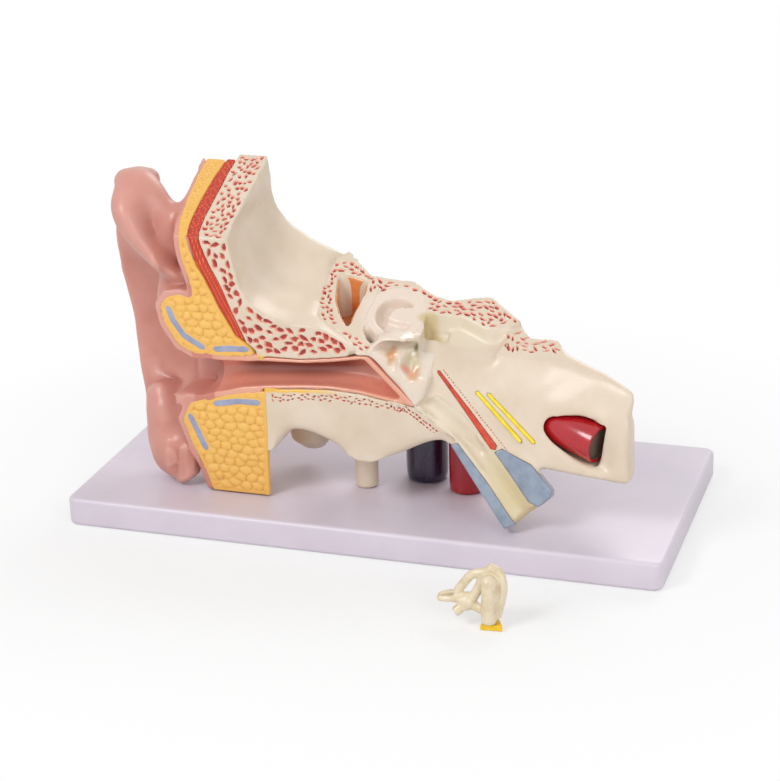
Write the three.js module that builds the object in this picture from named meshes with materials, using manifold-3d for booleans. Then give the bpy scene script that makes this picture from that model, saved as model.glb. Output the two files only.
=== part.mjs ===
// Ear anatomy model for the classroom, about three times life size, cut open from the front.
// Units are millimetres. X runs from the outer ear to the petrous apex, Y to the back, Z up.
// The origin is the centre of the board's underside.
import * as THREE from 'three';
import { mergeVertices } from 'three/addons/utils/BufferGeometryUtils.js';
import Module from 'manifold-3d';

const wasm = await Module();
wasm.setup();

// Board and its fixings
const BOARD_LENGTH = 340;
const BOARD_DEPTH = 160;
const BOARD_THICK = 16.5;
const BOARD_CORNER = 6;
const BOARD_EDGE = 2.5;
const SCREW_HEAD_D = 12;
const SCREW_HEAD_H = 4;
const SCREW_SHANK_D = 5;
const SCREW_GRIP = 9;
const SCREW_RECESS = 1;

// Cutting planes of the dissection. Heights are above the board, depths are behind the front cut.
const FRONT_CUT_Y = -50;
const UPPER_CUT_HEIGHT = 149.5;
const UPPER_CUT_RISE = 0.5;
const BACK_DEPTH = 61;
const SOFT_BACK_DEPTH = 57;
const PETROUS_CUT_HEIGHT = 90.8;
const PETROUS_CUT_FALL = 0.1;
const PETROUS_CUT_RISE = 0.527;

// Walls, fits and small parts
const GAP = 0.3;
const WELD = 0.02;
const OVER_CUT = 10;
const FAR = 250;
const SKIN_WALL = 2.2;
const CANAL_WALL = 2;
const EARDRUM_WALL = 3;
const STRIP_WIDTH = 4.4;
const STRIP_DEPTH = 8;
const TENSOR_DEPTH = 2.5;
const NERVE_WIDTH = 2;
const NERVE_DEPTH = 1.8;
const TONGUE_DEPTH = 13;
const LOWER_FAT_DEPTH = 30;
const LOWER_FAT_TAPER = 14;
const TYMPANIC_DEPTH = 37;
const CANAL_SPLIT_HEIGHT = 64;
const MASTOID_TOP = 84;
const ANTRUM_FLOOR = 74;
const ANTRUM_WALL = 2;
const STYLOID_D = 13;
const STYLOID_TOP = 34;
const JUGULAR_D = 24;
const JUGULAR_H = 36;
const CAROTID_D = 20;
const CAROTID_H = 44;
const APEX_CAROTID_D = 21.5;
const CAROTID_BORE_D = 14;
const VESSEL_EMBED = 5;
const LABYRINTH_TUBE_D = 5;

const P2 = (x, y) => new THREE.Vector2(x, y);
const P3 = (x, y, z) => new THREE.Vector3(x, y, z);
const lerp = THREE.MathUtils.lerp;

const upperCut = (depth) => UPPER_CUT_HEIGHT + UPPER_CUT_RISE * depth;
const petrousCut = (x, depth) => PETROUS_CUT_HEIGHT - PETROUS_CUT_FALL * x + PETROUS_CUT_RISE * depth;

// A closed geometry becomes a solid that can be cut, and back again
function solid(geometry) {
  const bare = geometry.index ? geometry.toNonIndexed() : geometry.clone();
  bare.deleteAttribute('normal');
  bare.deleteAttribute('uv');
  const merged = mergeVertices(bare, 1e-4);
  return new wasm.Manifold(new wasm.Mesh({
    numProp: 3,
    vertProperties: new Float32Array(merged.attributes.position.array),
    triVerts: new Uint32Array(merged.index.array),
  }));
}

// Corners that a cut leaves closer together than the weld become one, and the faces between them go
function surface(body) {
  const { vertProperties, triVerts } = body.getMesh();
  const corner = (i) => P3(...vertProperties.subarray(3 * i, 3 * i + 3));
  const leader = Array.from({ length: vertProperties.length / 3 }, (_, i) => i);
  const lead = (i) => (leader[i] === i ? i : lead(leader[i]));
  for (let k = 0; k < triVerts.length; k += 1) {
    const next = k % 3 === 2 ? k - 2 : k + 1;
    if (corner(triVerts[k]).distanceTo(corner(triVerts[next])) < WELD) {
      leader[lead(triVerts[k])] = lead(triVerts[next]);
    }
  }
  const faces = new Map();
  for (let k = 0; k < triVerts.length; k += 3) {
    const face = [0, 1, 2].map((i) => lead(triVerts[k + i]));
    const key = [...face].sort((a, b) => a - b).join();
    if (new Set(face).size === 3 && !faces.delete(key)) {
      faces.set(key, face);
    }
  }
  const geometry = new THREE.BufferGeometry();
  geometry.setAttribute('position', new THREE.BufferAttribute(vertProperties, 3));
  geometry.setIndex([...faces.values()].flat());
  return geometry;
}

const cut = (body, ...tools) => tools.reduce((rest, tool) => rest.subtract(tool), body);
const join = (body, ...others) => others.reduce((all, other) => all.add(other), body);

// A closed body through rings of equal point count, flat at both ends
function loft(rings) {
  const count = rings[0].length;
  const corners = rings.flat();
  const faces = [];
  for (let r = 0; r + 1 < rings.length; r += 1) {
    for (let i = 0; i < count; i += 1) {
      const j = (i + 1) % count;
      const a = r * count + i;
      const b = r * count + j;
      faces.push(a, b, b + count, a, b + count, a + count);
    }
  }
  const cap = (ring, offset, flip) => {
    const normal = P3(0, 0, 0);
    ring.forEach((p, i) => normal.add(P3(0, 0, 0).crossVectors(p, ring[(i + 1) % count])));
    normal.normalize();
    const turn = new THREE.Quaternion().setFromUnitVectors(normal, P3(0, 0, 1));
    const flat = ring.map((p) => {
      const q = p.clone().applyQuaternion(turn);
      return P2(q.x, q.y);
    });
    for (const [a, b, c] of THREE.ShapeUtils.triangulateShape(flat, [])) {
      faces.push(...(flip ? [offset + a, offset + c, offset + b] : [offset + a, offset + b, offset + c]));
    }
  };
  cap(rings[0], 0, true);
  cap(rings[rings.length - 1], (rings.length - 1) * count, false);
  const volume = faces.reduce((sum, v, k) => (k % 3 ? sum
    : sum + corners[v].dot(P3(0, 0, 0).crossVectors(corners[faces[k + 1]], corners[faces[k + 2]]))), 0);
  if (volume < 0) {
    faces.reverse();
  }
  const geometry = new THREE.BufferGeometry();
  geometry.setAttribute('position', new THREE.Float32BufferAttribute(corners.flatMap((p) => p.toArray()), 3));
  geometry.setIndex(faces);
  return solid(geometry);
}

// Each point of a closed outline moved outwards by a distance
function outset(outline, distance) {
  const area = outline.reduce((sum, p, i) => {
    const q = outline[(i + 1) % outline.length];
    return sum + p[0] * q[1] - q[0] * p[1];
  }, 0);
  const side = Math.sign(area);
  return outline.map((p, i) => {
    const before = outline[(i + outline.length - 1) % outline.length];
    const after = outline[(i + 1) % outline.length];
    const d1 = P2(p[0] - before[0], p[1] - before[1]).normalize();
    const d2 = P2(after[0] - p[0], after[1] - p[1]).normalize();
    const n = P2(d1.y + d2.y, -d1.x - d2.x).normalize();
    const reach = Math.max(0.5, n.dot(P2(d1.y, -d1.x)));
    return [p[0] + (side * distance * n.x) / reach, p[1] + (side * distance * n.y) / reach];
  });
}

// A strip along a centre line with round ends
function ribbon(line, width) {
  const half = (k) => (typeof width === 'number' ? width : lerp(width[0], width[1], k)) / 2;
  const left = [];
  const right = [];
  line.forEach((p, i) => {
    const a = line[Math.max(i - 1, 0)];
    const b = line[Math.min(i + 1, line.length - 1)];
    const d = P2(b[0] - a[0], b[1] - a[1]).normalize();
    const r = half(i / (line.length - 1));
    left.push([p[0] - d.y * r, p[1] + d.x * r]);
    right.unshift([p[0] + d.y * r, p[1] - d.x * r]);
  });
  const tip = (i, j) => {
    const d = P2(line[i][0] - line[j][0], line[i][1] - line[j][1]).normalize();
    const r = half(i ? 1 : 0);
    return [line[i][0] + d.x * r, line[i][1] + d.y * r];
  };
  const last = line.length - 1;
  return [...left, tip(last, last - 1), ...right, tip(0, 1)];
}

// An outline in the front face, given as x and height, carried from one depth to another
function slab(outline, from, to) {
  return loft([from, to].map((depth) => outline.map(([x, z]) => P3(x, depth, z))));
}

// An outline on the ground, given as x and depth, carried from one height to another
function pillar(outline, from, to) {
  return loft([from, to].map((z) => outline.map(([x, depth]) => P3(x, depth, z))));
}

// Everything under the sloping petrous cut, moved up or down by an offset
function underPetrousCut(offset) {
  const ring = (x) => [P3(x, -FAR, -FAR), P3(x, FAR, -FAR), P3(x, FAR, petrousCut(x, FAR) + offset),
    P3(x, -FAR, petrousCut(x, -FAR) + offset)];
  return loft([ring(-FAR), ring(FAR)]);
}

function box(low, high) {
  const size = high.clone().sub(low);
  const geometry = new THREE.BoxGeometry(size.x, size.y, size.z);
  const middle = low.clone().add(high).multiplyScalar(0.5);
  geometry.translate(middle.x, middle.y, middle.z);
  return solid(geometry);
}

const inFront = box(P3(-FAR, -FAR, -FAR), P3(FAR, 0, FAR));

// Edge lines shared by neighbours: the front face first, then the back of the block
const boneEdge = [[[-89, 150], [-84, 133.5], [-76, 111.5], [-67, 91]],
  [[-90.5, 181], [-90, 152], [-87, 122], [-82, 88]]];
const muscleEdge = [[[-94, 150], [-91, 133.5], [-83, 113.5], [-72.5, 95]],
  [[-94.5, 181], [-95, 152], [-92.5, 122], [-86.5, 88]]];
const skinEdge = [[[-98.5, 150], [-99.5, 134], [-98, 124], [-97, 114]],
  [[-108, 181], [-108.5, 155], [-107, 130], [-104, 100]]];

const shift = (line, dx) => line.map(([x, z]) => [x + dx, z]);
const between = (a, b, k) => a.map(([x, z], i) => [lerp(x, b[i][0], k), lerp(z, b[i][1], k)]);
const edgeBulge = new Map([[boneEdge, 3.5], [muscleEdge, 5], [skinEdge, 5]]);
const edgeAt = (edge, k) => shift(between(edge[0], edge[1], k), -edgeBulge.get(edge) * Math.sin(Math.PI * k));

// Everything above the upper cut
const aboveCut = (x) => [P3(x, -FAR, upperCut(-FAR)), P3(x, FAR, upperCut(FAR)), P3(x, FAR, 2 * FAR),
  P3(x, -FAR, 2 * FAR)];
const overHead = loft([aboveCut(-FAR), aboveCut(FAR)]);

// Shares of the block's depth where the side of the head has its rings; the bowl's back rim is one of them
const BOWL_RIM = 0.86;
const HEAD_SHARES = [0, 0.2, 0.45, 0.7, BOWL_RIM, 1];

// A layer of the side of the head between two shared edges, grown on its outer side and foot by an extra
function layer(left, right, leftShift, rightShift, extra = 0) {
  const rings = HEAD_SHARES.map((share) => {
    const outline = [...shift(edgeAt(left, share), leftShift), ...shift(edgeAt(right, share), rightShift).reverse()];
    const last = outline.length - 1;
    const foot = left[0].length - 1;
    return outline.map(([x, z], i) => {
      const rise = i === 0 || i === last ? OVER_CUT : 0;
      const drop = i === foot || i === foot + 1 ? extra : 0;
      return P3(x, share * BACK_DEPTH, z + rise - drop);
    });
  });
  const behind = box(P3(-FAR, SOFT_BACK_DEPTH + extra, -FAR), P3(FAR, FAR, FAR));
  return cut(loft(rings), behind);
}

// The ear canal: x, roof, floor and depth of the open passage at each station
const canalStations = [[-93, 80.5, 57, 19], [-87, 79.5, 60, 17], [-72, 80, 64.5, 14], [-56, 81.5, 67, 13],
  [-36, 82, 69, 12.5], [-20, 84, 70, 12.5], [-3, 87, 69, 13], [12, 88, 66.5, 13], [28, 87, 64, 12]];

function canal(wall) {
  const rings = canalStations.map(([x, roof, floor, depth]) => {
    const middle = (roof + floor) / 2;
    const ring = [];
    for (let i = 0; i < 16; i += 1) {
      const angle = (i * Math.PI) / 8;
      ring.push(P3(x, (depth + wall) * Math.sin(angle), middle + ((roof - floor) / 2 + wall) * Math.cos(angle)));
    }
    return ring;
  });
  return loft(rings);
}

// The eardrum stands across the canal's inner end, leaning inwards at its foot
const EARDRUM_TOP = [-3, 90];
const EARDRUM_FOOT = [25, 62];
function eardrumSlab(from, to) {
  const d = P2(EARDRUM_FOOT[0] - EARDRUM_TOP[0], EARDRUM_FOOT[1] - EARDRUM_TOP[1]).normalize();
  const along = (t, across) => [EARDRUM_TOP[0] + d.x * t - d.y * across, EARDRUM_TOP[1] + d.y * t + d.x * across];
  return slab([along(-FAR, from), along(FAR, from), along(FAR, to), along(-FAR, to)], -FAR, FAR);
}
const canalOuter = canal(CANAL_WALL);
const canalRoom = canal(CANAL_WALL + GAP);
const canalPocket = cut(canalRoom, eardrumSlab(EARDRUM_WALL + GAP, FAR));

// Fat pads with the cartilage strips let into their cut faces
const tongueOutline = [[-97, 114.5], [-105, 117], [-113, 115], [-118, 109], [-116, 98.5], [-108, 86],
  [-98, 81.5], [-87, 81.7], [-72, 82.3], [-62, 84], [-67.5, 91], [-72.8, 95], [-83.3, 113.5]];
const lowerFatOutline = [[-57.4, 0.5], [-56.4, 56], [-56.5, 64], [-72, 62], [-88.9, 58], [-103, 53.5],
  [-108.6, 42.5], [-104, 28.5], [-97, 13.5], [-92.7, 0.5]];

const stripLines = {
  auricular_cartilage_upper: [[-112.5, 108], [-110, 101], [-104, 92.5], [-93, 86.3]],
  canal_cartilage_upper: [[-86, 86], [-78, 87], [-67, 87.5]],
  canal_cartilage_lower: [[-88, 53.5], [-74, 56.3], [-62, 56.5]],
  auricular_cartilage_lower: [[-103.5, 45], [-98.5, 34], [-95, 26]],
};
const stripAt = (name, extra) => slab(ribbon(stripLines[name], STRIP_WIDTH + 2 * extra), -OVER_CUT,
  STRIP_DEPTH + extra);
const stripPockets = Object.keys(stripLines).map((name) => stripAt(name, GAP));

function upperFat(extra) {
  const side = layer(skinEdge, muscleEdge, -extra, extra, extra);
  const tongue = slab(outset(tongueOutline, extra), 0, TONGUE_DEPTH + extra);
  return join(side, tongue);
}
// The lower pad narrows from its right side as it goes back
function lowerFat(extra) {
  const outline = outset(lowerFatOutline, extra);
  const middle = (lowerFatOutline[0][0] + lowerFatOutline[9][0]) / 2;
  const back = outline.map(([x, z]) => [x > middle ? x - LOWER_FAT_TAPER : x, z]);
  return loft([outline.map(([x, z]) => P3(x, -extra, z)), back.map(([x, z]) => P3(x, LOWER_FAT_DEPTH + extra, z))]);
}

// The temporal bone's scale: outer side on the shared edge, inner side a hollow bowl
const bowlEdge = [[[-72, 151.5], [-70.5, 134], [-69, 121.5], [-64, 113.5], [-57, 108.5], [-42, 104.5], [-25, 103.5]],
  [[-75, 181], [-71, 162], [-66, 151], [-58, 142], [-48, 135.5], [-39, 131.5], [-28, 127.5]]];
const BOWL_HOLLOW = 7;
const BOWL_STEEP_POINTS = 3;
const BOWL_FLOOR_SHARE = 0.35;
function squama(extra) {
  const rings = HEAD_SHARES.map((k) => {
    const depth = k * BACK_DEPTH;
    const hollow = BOWL_HOLLOW * Math.sin(Math.min(k / BOWL_RIM, 1) * Math.PI);
    const inner = between(bowlEdge[0], bowlEdge[1], k).map(([x, z], i) => {
      const sideways = i < BOWL_STEEP_POINTS ? 1 : BOWL_FLOOR_SHARE;
      return i ? [x - hollow * 0.6 * sideways, z - hollow * (1.2 - sideways)] : [x, z];
    });
    const tip = between([[-4, 93], [-13, 87.5]], [[-27, 110], [-28, 90]], k);
    const outline = [...shift(edgeAt(boneEdge, k), -extra), [lerp(-58.5, -70, k), MASTOID_TOP],
      [lerp(-36, -45, k), MASTOID_TOP], ...tip.reverse(), ...inner.reverse()];
    const last = outline.length - 1;
    const foot = boneEdge[0].length - 1;
    return outline.map(([x, z], i) => {
      const rise = i === 0 || i === last ? OVER_CUT : 0;
      const drop = i >= foot && i <= foot + 2 ? extra : 0;
      return P3(x, depth, z + rise - drop);
    });
  });
  return loft(rings);
}

// The muscle and the bone, and the room that the outer layers leave to them
const squamaBody = squama(0);
const squamaRoom = squama(GAP);
const muscle = cut(layer(muscleEdge, boneEdge, 0, 0), squamaRoom);
const muscleRoom = layer(muscleEdge, boneEdge, -GAP, 0, GAP);

// Plan outlines on the petrous cut, as x and depth
const tegmenOutline = [[-3, 0], [-14, 8], [-31, 16], [-33.5, 35], [-34.5, 54], [-28, 64], [-10.5, 50.5],
  [-4.5, 46], [-4.5, 34], [-6.5, 24], [-4, 14], [3, 5], [2, 0]];
const antrumOutline = [[-31, 48], [-26.6, 50.5], [-11, 48.5], [-9.2, 40], [-11.5, 22], [-11, 12.7], [-15, 13.5],
  [-21.5, 21], [-27, 30]];
const CAPSULE_X = 10;
const CAPSULE_DEPTH = 29;
const CAPSULE_R = 16.5;
const SOCKET_R = 11;
const postOutline = [[5.5, 25], [8.5, 32.5], [16, 34], [26, 33], [26, 26.5], [14, 23.5]];
const SOCKET_DEEP = 7;

const round = (x, depth, r, sides = 20) => Array.from({ length: sides }, (_, i) => {
  const angle = (i * 2 * Math.PI) / sides;
  return [x + r * Math.cos(angle), depth + r * Math.sin(angle)];
});

const antrumPocket = pillar(antrumOutline, ANTRUM_FLOOR - ANTRUM_WALL - GAP, FAR);
const upperFloor = (extra) => CANAL_SPLIT_HEIGHT + GAP - extra;
const tegmenWall = (extra) => pillar(outset(tegmenOutline, extra), upperFloor(extra), FAR);
const capsule = (extra) => pillar(round(CAPSULE_X, CAPSULE_DEPTH, CAPSULE_R + extra), upperFloor(extra), FAR);

// The tympanic cavity opens to the front between the eardrum and the capsule
const cavityOutline = [[4, 92], [10, 98], [20, 99], [28, 95], [33, 87], [34, 77], [31, 69], [27.5, 65.5]];
const CAVITY_DEPTH = 14;
const CAVITY_WALL = 2.2;
const cavity = (extra, depth) => slab(outset(cavityOutline, extra), -OVER_CUT, depth);

// The Eustachian tube's cut face leans forward: u runs down the tube, v across it, w into it
const TUBE_ORIGIN = P3(26, 0, 62.5);
const TUBE_DOWN = P3(0.683, -0.2, -0.702).normalize();
const TUBE_ACROSS = P3(0.7454, 0.2858, 0.6023).normalize();
const tubeNormal = P3(0, 0, 0).crossVectors(TUBE_DOWN, TUBE_ACROSS);
const tubeFrame = new THREE.Matrix4().makeBasis(TUBE_DOWN, TUBE_ACROSS, tubeNormal).setPosition(TUBE_ORIGIN);
function tubeSlab(outline, from, to) {
  return loft([from, to].map((w) => outline.map(([u, v]) => P3(u, v, -w).applyMatrix4(tubeFrame))));
}
const TUBE_DEPTH = 12;
const TUBE_BORE_R = 4.2;
const lateralStripOutline = [[29, 4.3], [31, 8], [55.5, 7.6], [84, 5.4], [82.4, -0.9], [53.4, 1.8]];
const hookOutline = [[46.7, 20.6], [47.5, 24.7], [63.6, 32], [81.3, 32.2], [83.7, 30], [84, 21], [78.6, 18.6],
  [60, 20]];
const lumenOutline = [[2, 0.6], [30.6, 8.3], [55.5, 7.9], [83.8, 5.8], [83.5, 20.4], [78.4, 18.2], [60, 19.7],
  [46.4, 20.2], [20, 19.6], [4, 15]];
const boreLine = [[0, 7.5], [30, 14], [56, 14], [90, 13]];
const tensorLine = [[-6, 23.8], [20, 23], [44, 21.9]];
const TENSOR_WIDTHS = [1.6, 3.6];
const nerveLines = {
  petrosal_nerve_lesser: [[15.5, 33.2], [50, 35.2]],
  petrosal_nerve_greater: [[20, 37.4], [55, 40.5]],
};

const tubeBody = (outline, extra) => tubeSlab(outset(outline, extra), 0, TUBE_DEPTH + extra);
const tensorBody = (extra) => tubeSlab(ribbon(tensorLine, TENSOR_WIDTHS.map((w) => w + 2 * extra)),
  extra ? -OVER_CUT : 0, TENSOR_DEPTH + extra);
const nerveBody = (name, extra) => tubeSlab(ribbon(nerveLines[name], NERVE_WIDTH + 2 * extra),
  extra ? -OVER_CUT : 0, NERVE_DEPTH + extra);

// The petrous pyramid: x, then depth and height of its front foot, front edge, ridge and back foot
const petrousStations = [
  [-10, 36, 46, 40, 50, 62, 34], [14, 0, 46, 11, 51, 62, 34], [27, 0, 46, 12, 44.5, 62, 36],
  [37.5, 0, 45, 13, 43, 60, 38], [48, 0, 43, 15, 47, 59, 38], [58, 0, 41, 18, 50, 58, 38],
  [77, 0, 37, 20, 38, 52, 37], [84, -0.5, 35, 21, 31, 50, 37], [97.6, -2.5, 34, 23, 33, 46, 36],
  [108, -4.5, 33.5, 20, 25, 43, 35], [131, -4, 31, 13, 17, 32, 32], [147, -2.5, 28.5, 6, 9, 14, 29.5]];
const APEX_SCOOP_R = 44;
const APEX_SCOOP_DEEP = 4;
const APEX_SCOOP_HEIGHT = 54;
const BACK_FOOT_HIGH = 10;
const BACK_FOOT_IN = 4;
function petrousBody() {
  const apex = petrousStations[petrousStations.length - 1][0];
  const scoopX = apex + APEX_SCOOP_R - APEX_SCOOP_DEEP;
  const scoop = rod(P3(scoopX, -FAR, APEX_SCOOP_HEIGHT), P3(scoopX, FAR, APEX_SCOOP_HEIGHT), 2 * APEX_SCOOP_R, 36);
  return cut(loft(petrousStations.map(([x, footDepth, footHeight, edge, ridge, backDepth, backHeight]) => {
    const top = petrousCut(x, edge);
    const ridgeTop = petrousCut(x, ridge);
    return [P3(x, footDepth, footHeight), P3(x, lerp(footDepth, edge, 0.4), lerp(footHeight, top, 0.6)),
      P3(x, edge, top), P3(x, ridge, ridgeTop), P3(x, lerp(ridge, backDepth, 0.45), lerp(ridgeTop, backHeight, 0.45)),
      P3(x, backDepth, backHeight + BACK_FOOT_HIGH), P3(x, backDepth - BACK_FOOT_IN, backHeight)];
  })), scoop);
}

// Recesses in the top of the petrous bone for the nerve canal and the taken out labyrinth
const STEP_DEEP = 8;
const stepOutline = [[27, 31.5], [45.6, 34], [61.7, 28.5], [72, 32], [70, 22], [62, 4], [27, 4]];
const NERVE_CANAL_DEEP = 12;
const nerveCanalOutline = [[24, 25], [24, 31.5], [40, 32.5], [40, 25]];

// Carotid artery where it leaves the apex
const CAROTID_FROM = P3(97, 19, 55);
const CAROTID_TO = P3(129, 4, 49.5);
const WINDOW_MARGIN = 2;
function rod(from, to, diameter, sides = 20) {
  const length = from.distanceTo(to);
  const geometry = new THREE.CylinderGeometry(diameter / 2, diameter / 2, length, sides);
  const turn = new THREE.Quaternion().setFromUnitVectors(P3(0, 1, 0), to.clone().sub(from).normalize());
  geometry.applyQuaternion(turn);
  const middle = from.clone().add(to).multiplyScalar(0.5);
  geometry.translate(middle.x, middle.y, middle.z);
  return solid(geometry);
}
const carotidOnward = CAROTID_TO.clone().sub(CAROTID_FROM).normalize();
const carotidMouth = CAROTID_TO.clone().addScaledVector(carotidOnward, OVER_CUT);
const carotidWindow = rod(CAROTID_FROM.clone().addScaledVector(carotidOnward, WINDOW_MARGIN), carotidMouth,
  APEX_CAROTID_D + 2 * WINDOW_MARGIN);

// Bone under the canal with the styloid stub
const tympanicOutline = [[-56, 27.5], [-44, 42], [-33, 41], [-21, 36.5], [-12, 30], [-5, 27], [2, 27], [10, 30],
  [19, 33.5], [33, 41], [45, 45], [47, 45.4], [24.5, CANAL_SPLIT_HEIGHT - 2.2], [21, CANAL_SPLIT_HEIGHT], [-56, CANAL_SPLIT_HEIGHT]];
const STYLOID_X = -10.5;
const STYLOID_DEPTH = 30;
const styloid = pillar(round(STYLOID_X, STYLOID_DEPTH, STYLOID_D / 2, 14), GAP, STYLOID_TOP);

// Vessels under the bone, as x and depth of their middle
const JUGULAR_AT = [19.5, 49];
const CAROTID_AT = [46, 38];
const vessel = ([x, depth], diameter, height, extra) => pillar(round(x, depth, diameter / 2 + extra), extra ? 0 : GAP,
  height + VESSEL_EMBED + extra);
const jugular = (extra) => vessel(JUGULAR_AT, JUGULAR_D, JUGULAR_H, extra);
const carotid = (extra) => vessel(CAROTID_AT, CAROTID_D, CAROTID_H, extra);

// Mastoid block behind the canal with its knob, as height and radius down to the rounded tip
const MASTOID_BACK_DEPTH = 60;
const mastoidOutline = [[-84, 26], [-70, 20], [-35, 20], [-35.5, MASTOID_BACK_DEPTH], [-78, MASTOID_BACK_DEPTH]];
const KNOB_X = -50;
const KNOB_OVERLAP = 1;
const knobRings = [[CANAL_SPLIT_HEIGHT + GAP + KNOB_OVERLAP, 17], [48, 16], [30, 14.5], [18, 11.5], [11, 6]];
function mastoid() {
  const upper = pillar(mastoidOutline, CANAL_SPLIT_HEIGHT + GAP, MASTOID_TOP - GAP);
  const frontDepth = TYMPANIC_DEPTH + 2 * GAP;
  const knob = knobRings.map(([z, r]) => {
    const depth = Math.max(MASTOID_BACK_DEPTH - 1 - r, frontDepth + r);
    return round(KNOB_X, depth, r).map(([x, y]) => P3(x, y, z));
  });
  return join(upper, loft(knob));
}

// The auricle: height, root, rim, bow and thickness of the plate at root, middle and rim
const auricleStations = [
  [2, -113, 6, -120, 13, 0, 9, 9, 9], [7, -110, 7, -127, 20, 1, 15, 16, 15], [24, -109, 9, -135, 30, 2, 18, 17, 16],
  [42, -105, 17, -144, 42, 5, 11, 13, 16], [60, -96, 23, -150, 52, 8, 7, 12, 16],
  [80, -91, 24, -155, 60, 10, 6, 12, 16], [100, -95, 24, -160, 64, 9, 6, 12, 17],
  [114, -104, 20, -162, 66, 7, 10, 12, 18], [124, -113, 11, -163, 66, 5, 15, 12, 19],
  [134, -122, 9, -161, 65, 4, 17, 12, 20], [146, -133, 9, -156, 62, 2, 19, 12, 21],
  [158, -138, 10, -148, 57, 0, 21, 13, 21], [169, -139, 15, -143, 48, -1, 20, 16, 19],
  [177, -139, 23, -141, 36, -1, 12, 12, 11]];
const PLATE_STEPS = 7;
const CAP_ANGLES = [Math.PI / 4, 0, -Math.PI / 4];
function auricleRing([z, rootX, rootDepth, rimX, rimDepth, bow, rootThick, middleThick, rimThick]) {
  const root = P2(rootX, rootDepth);
  const rim = P2(rimX, rimDepth);
  const along = rim.clone().sub(root).normalize();
  const middle = root.clone().lerp(rim, 0.5).addScaledVector(P2(-along.y, along.x), -2 * bow);
  const spine = new THREE.QuadraticBezierCurve(root, middle, rim);
  const outer = [];
  const inner = [];
  for (let i = 0; i <= PLATE_STEPS; i += 1) {
    const s = i / PLATE_STEPS;
    const p = spine.getPoint(s);
    const t = spine.getTangent(s);
    const half = lerp(lerp(rootThick, middleThick, Math.min(2 * s, 1)), rimThick, Math.max(2 * s - 1, 0)) / 2;
    outer.push(P3(p.x - t.y * half, p.y + t.x * half, z));
    inner.unshift(P3(p.x + t.y * half, p.y - t.x * half, z));
  }
  const cap = (p, t, r) => CAP_ANGLES.map((angle) => P3(p.x + r * (t.x * Math.cos(angle) - t.y * Math.sin(angle)),
    p.y + r * (t.y * Math.cos(angle) + t.x * Math.sin(angle)), z));
  return [...outer, ...cap(rim, spine.getTangent(1), rimThick / 2), ...inner,
    ...cap(root, spine.getTangent(0).negate(), rootThick / 2)];
}

// Skin that joins the back of the auricle to the side of the head: depth, height and where it meets the auricle
const WEB_FROM_X = -101;
const webOutline = [[22, 92, -104], [24, 114, -106], [33, 128, -122], [44, 140, -136], [SOFT_BACK_DEPTH, 143.5, -148],
  [SOFT_BACK_DEPTH, 92, -140]];
const web = loft([webOutline.map(([depth, z]) => P3(WEB_FROM_X, depth, z)),
  webOutline.map(([depth, z, x]) => P3(x, depth, z))]);

// Skin round the fat pads: where it ends towards the middle, and the heights between which it runs
const SKIN_END_X = -86;
const TONGUE_SKIN_DEPTH = 23;
const TONGUE_SKIN_TOP = 118;
const TONGUE_SKIN_STEP = 95;
const TONGUE_SKIN_FOOT = 60;
const UPPER_SKIN_END_X = -97;
const MIDDLE_SKIN_END_X = -90;
const LOWER_SKIN_END_X = -91;
const LOWER_SKIN_TOP = 56;
const LOWER_SKIN_FOOT = 1;
function auricle() {
  const tongueSkin = slab(outset(tongueOutline, SKIN_WALL + GAP), 0, TONGUE_SKIN_DEPTH);
  const tongueLimit = join(box(P3(-FAR, 0, TONGUE_SKIN_STEP), P3(UPPER_SKIN_END_X, FAR, TONGUE_SKIN_TOP)),
    box(P3(-FAR, 0, TONGUE_SKIN_FOOT), P3(MIDDLE_SKIN_END_X, FAR, TONGUE_SKIN_STEP)));
  const lowerSkin = lowerFat(SKIN_WALL + GAP);
  const lowerLimit = box(P3(-FAR, 0, LOWER_SKIN_FOOT), P3(LOWER_SKIN_END_X, FAR, LOWER_SKIN_TOP));
  const scalp = cut(layer(skinEdge, skinEdge, -SKIN_WALL - GAP, 0), overHead);
  const whole = join(loft(auricleStations.map(auricleRing)), web, scalp, tongueSkin.intersect(tongueLimit),
    lowerSkin.intersect(lowerLimit));
  const inHead = box(P3(SKIN_END_X, -FAR, -FAR), P3(FAR, FAR, FAR));
  return cut(whole, upperFat(GAP), lowerFat(GAP), canalRoom, inHead, inFront);
}

// The labyrinth that was taken out lies in front of the board. Its own origin is on the table below it.
const LABYRINTH_X = 86;
const LABYRINTH_Y = -139;
const VESTIBULE_R = 5.5;
function tubeAlong(points, diameter) {
  const curve = new THREE.CatmullRomCurve3(points.map((p) => P3(...p)));
  const section = new THREE.Shape(round(0, 0, diameter / 2, 8).map(([x, y]) => P2(x, y)));
  return solid(new THREE.ExtrudeGeometry(section, { steps: 14, extrudePath: curve, bevelEnabled: false }));
}
function ball(x, y, z, r) {
  const geometry = new THREE.SphereGeometry(r, 14, 10);
  geometry.translate(x, y, z);
  return solid(geometry);
}
const NERVE_STUB_H = 3.5;
const nerveStubOutline = [[3.5, -4.5], [15, -3.5], [11.5, 4], [4.5, 4]];
const rightArchPoints = [[10.5, 1, 6], [12.5, 2, 14], [13.5, 3, 23], [11, 4, 30], [6.5, 4, 31.5], [3.5, 3, 26],
  [0.5, 2, 19], [-3, 1, 13]];
const leftArchPoints = [[4, 3, 29], [-2, 3, 27.5], [-6.5, 2, 22.5], [-9.5, 1, 17], [-7, 0, 13.5]];
const leafPoints = [[-5, -1, 14], [-12, -2, 14.8], [-18.5, -1, 14], [-18, 3, 14.3], [-11, 4, 15.5], [-5, 2, 15]];
const COLUMN_X = 7.5;
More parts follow.
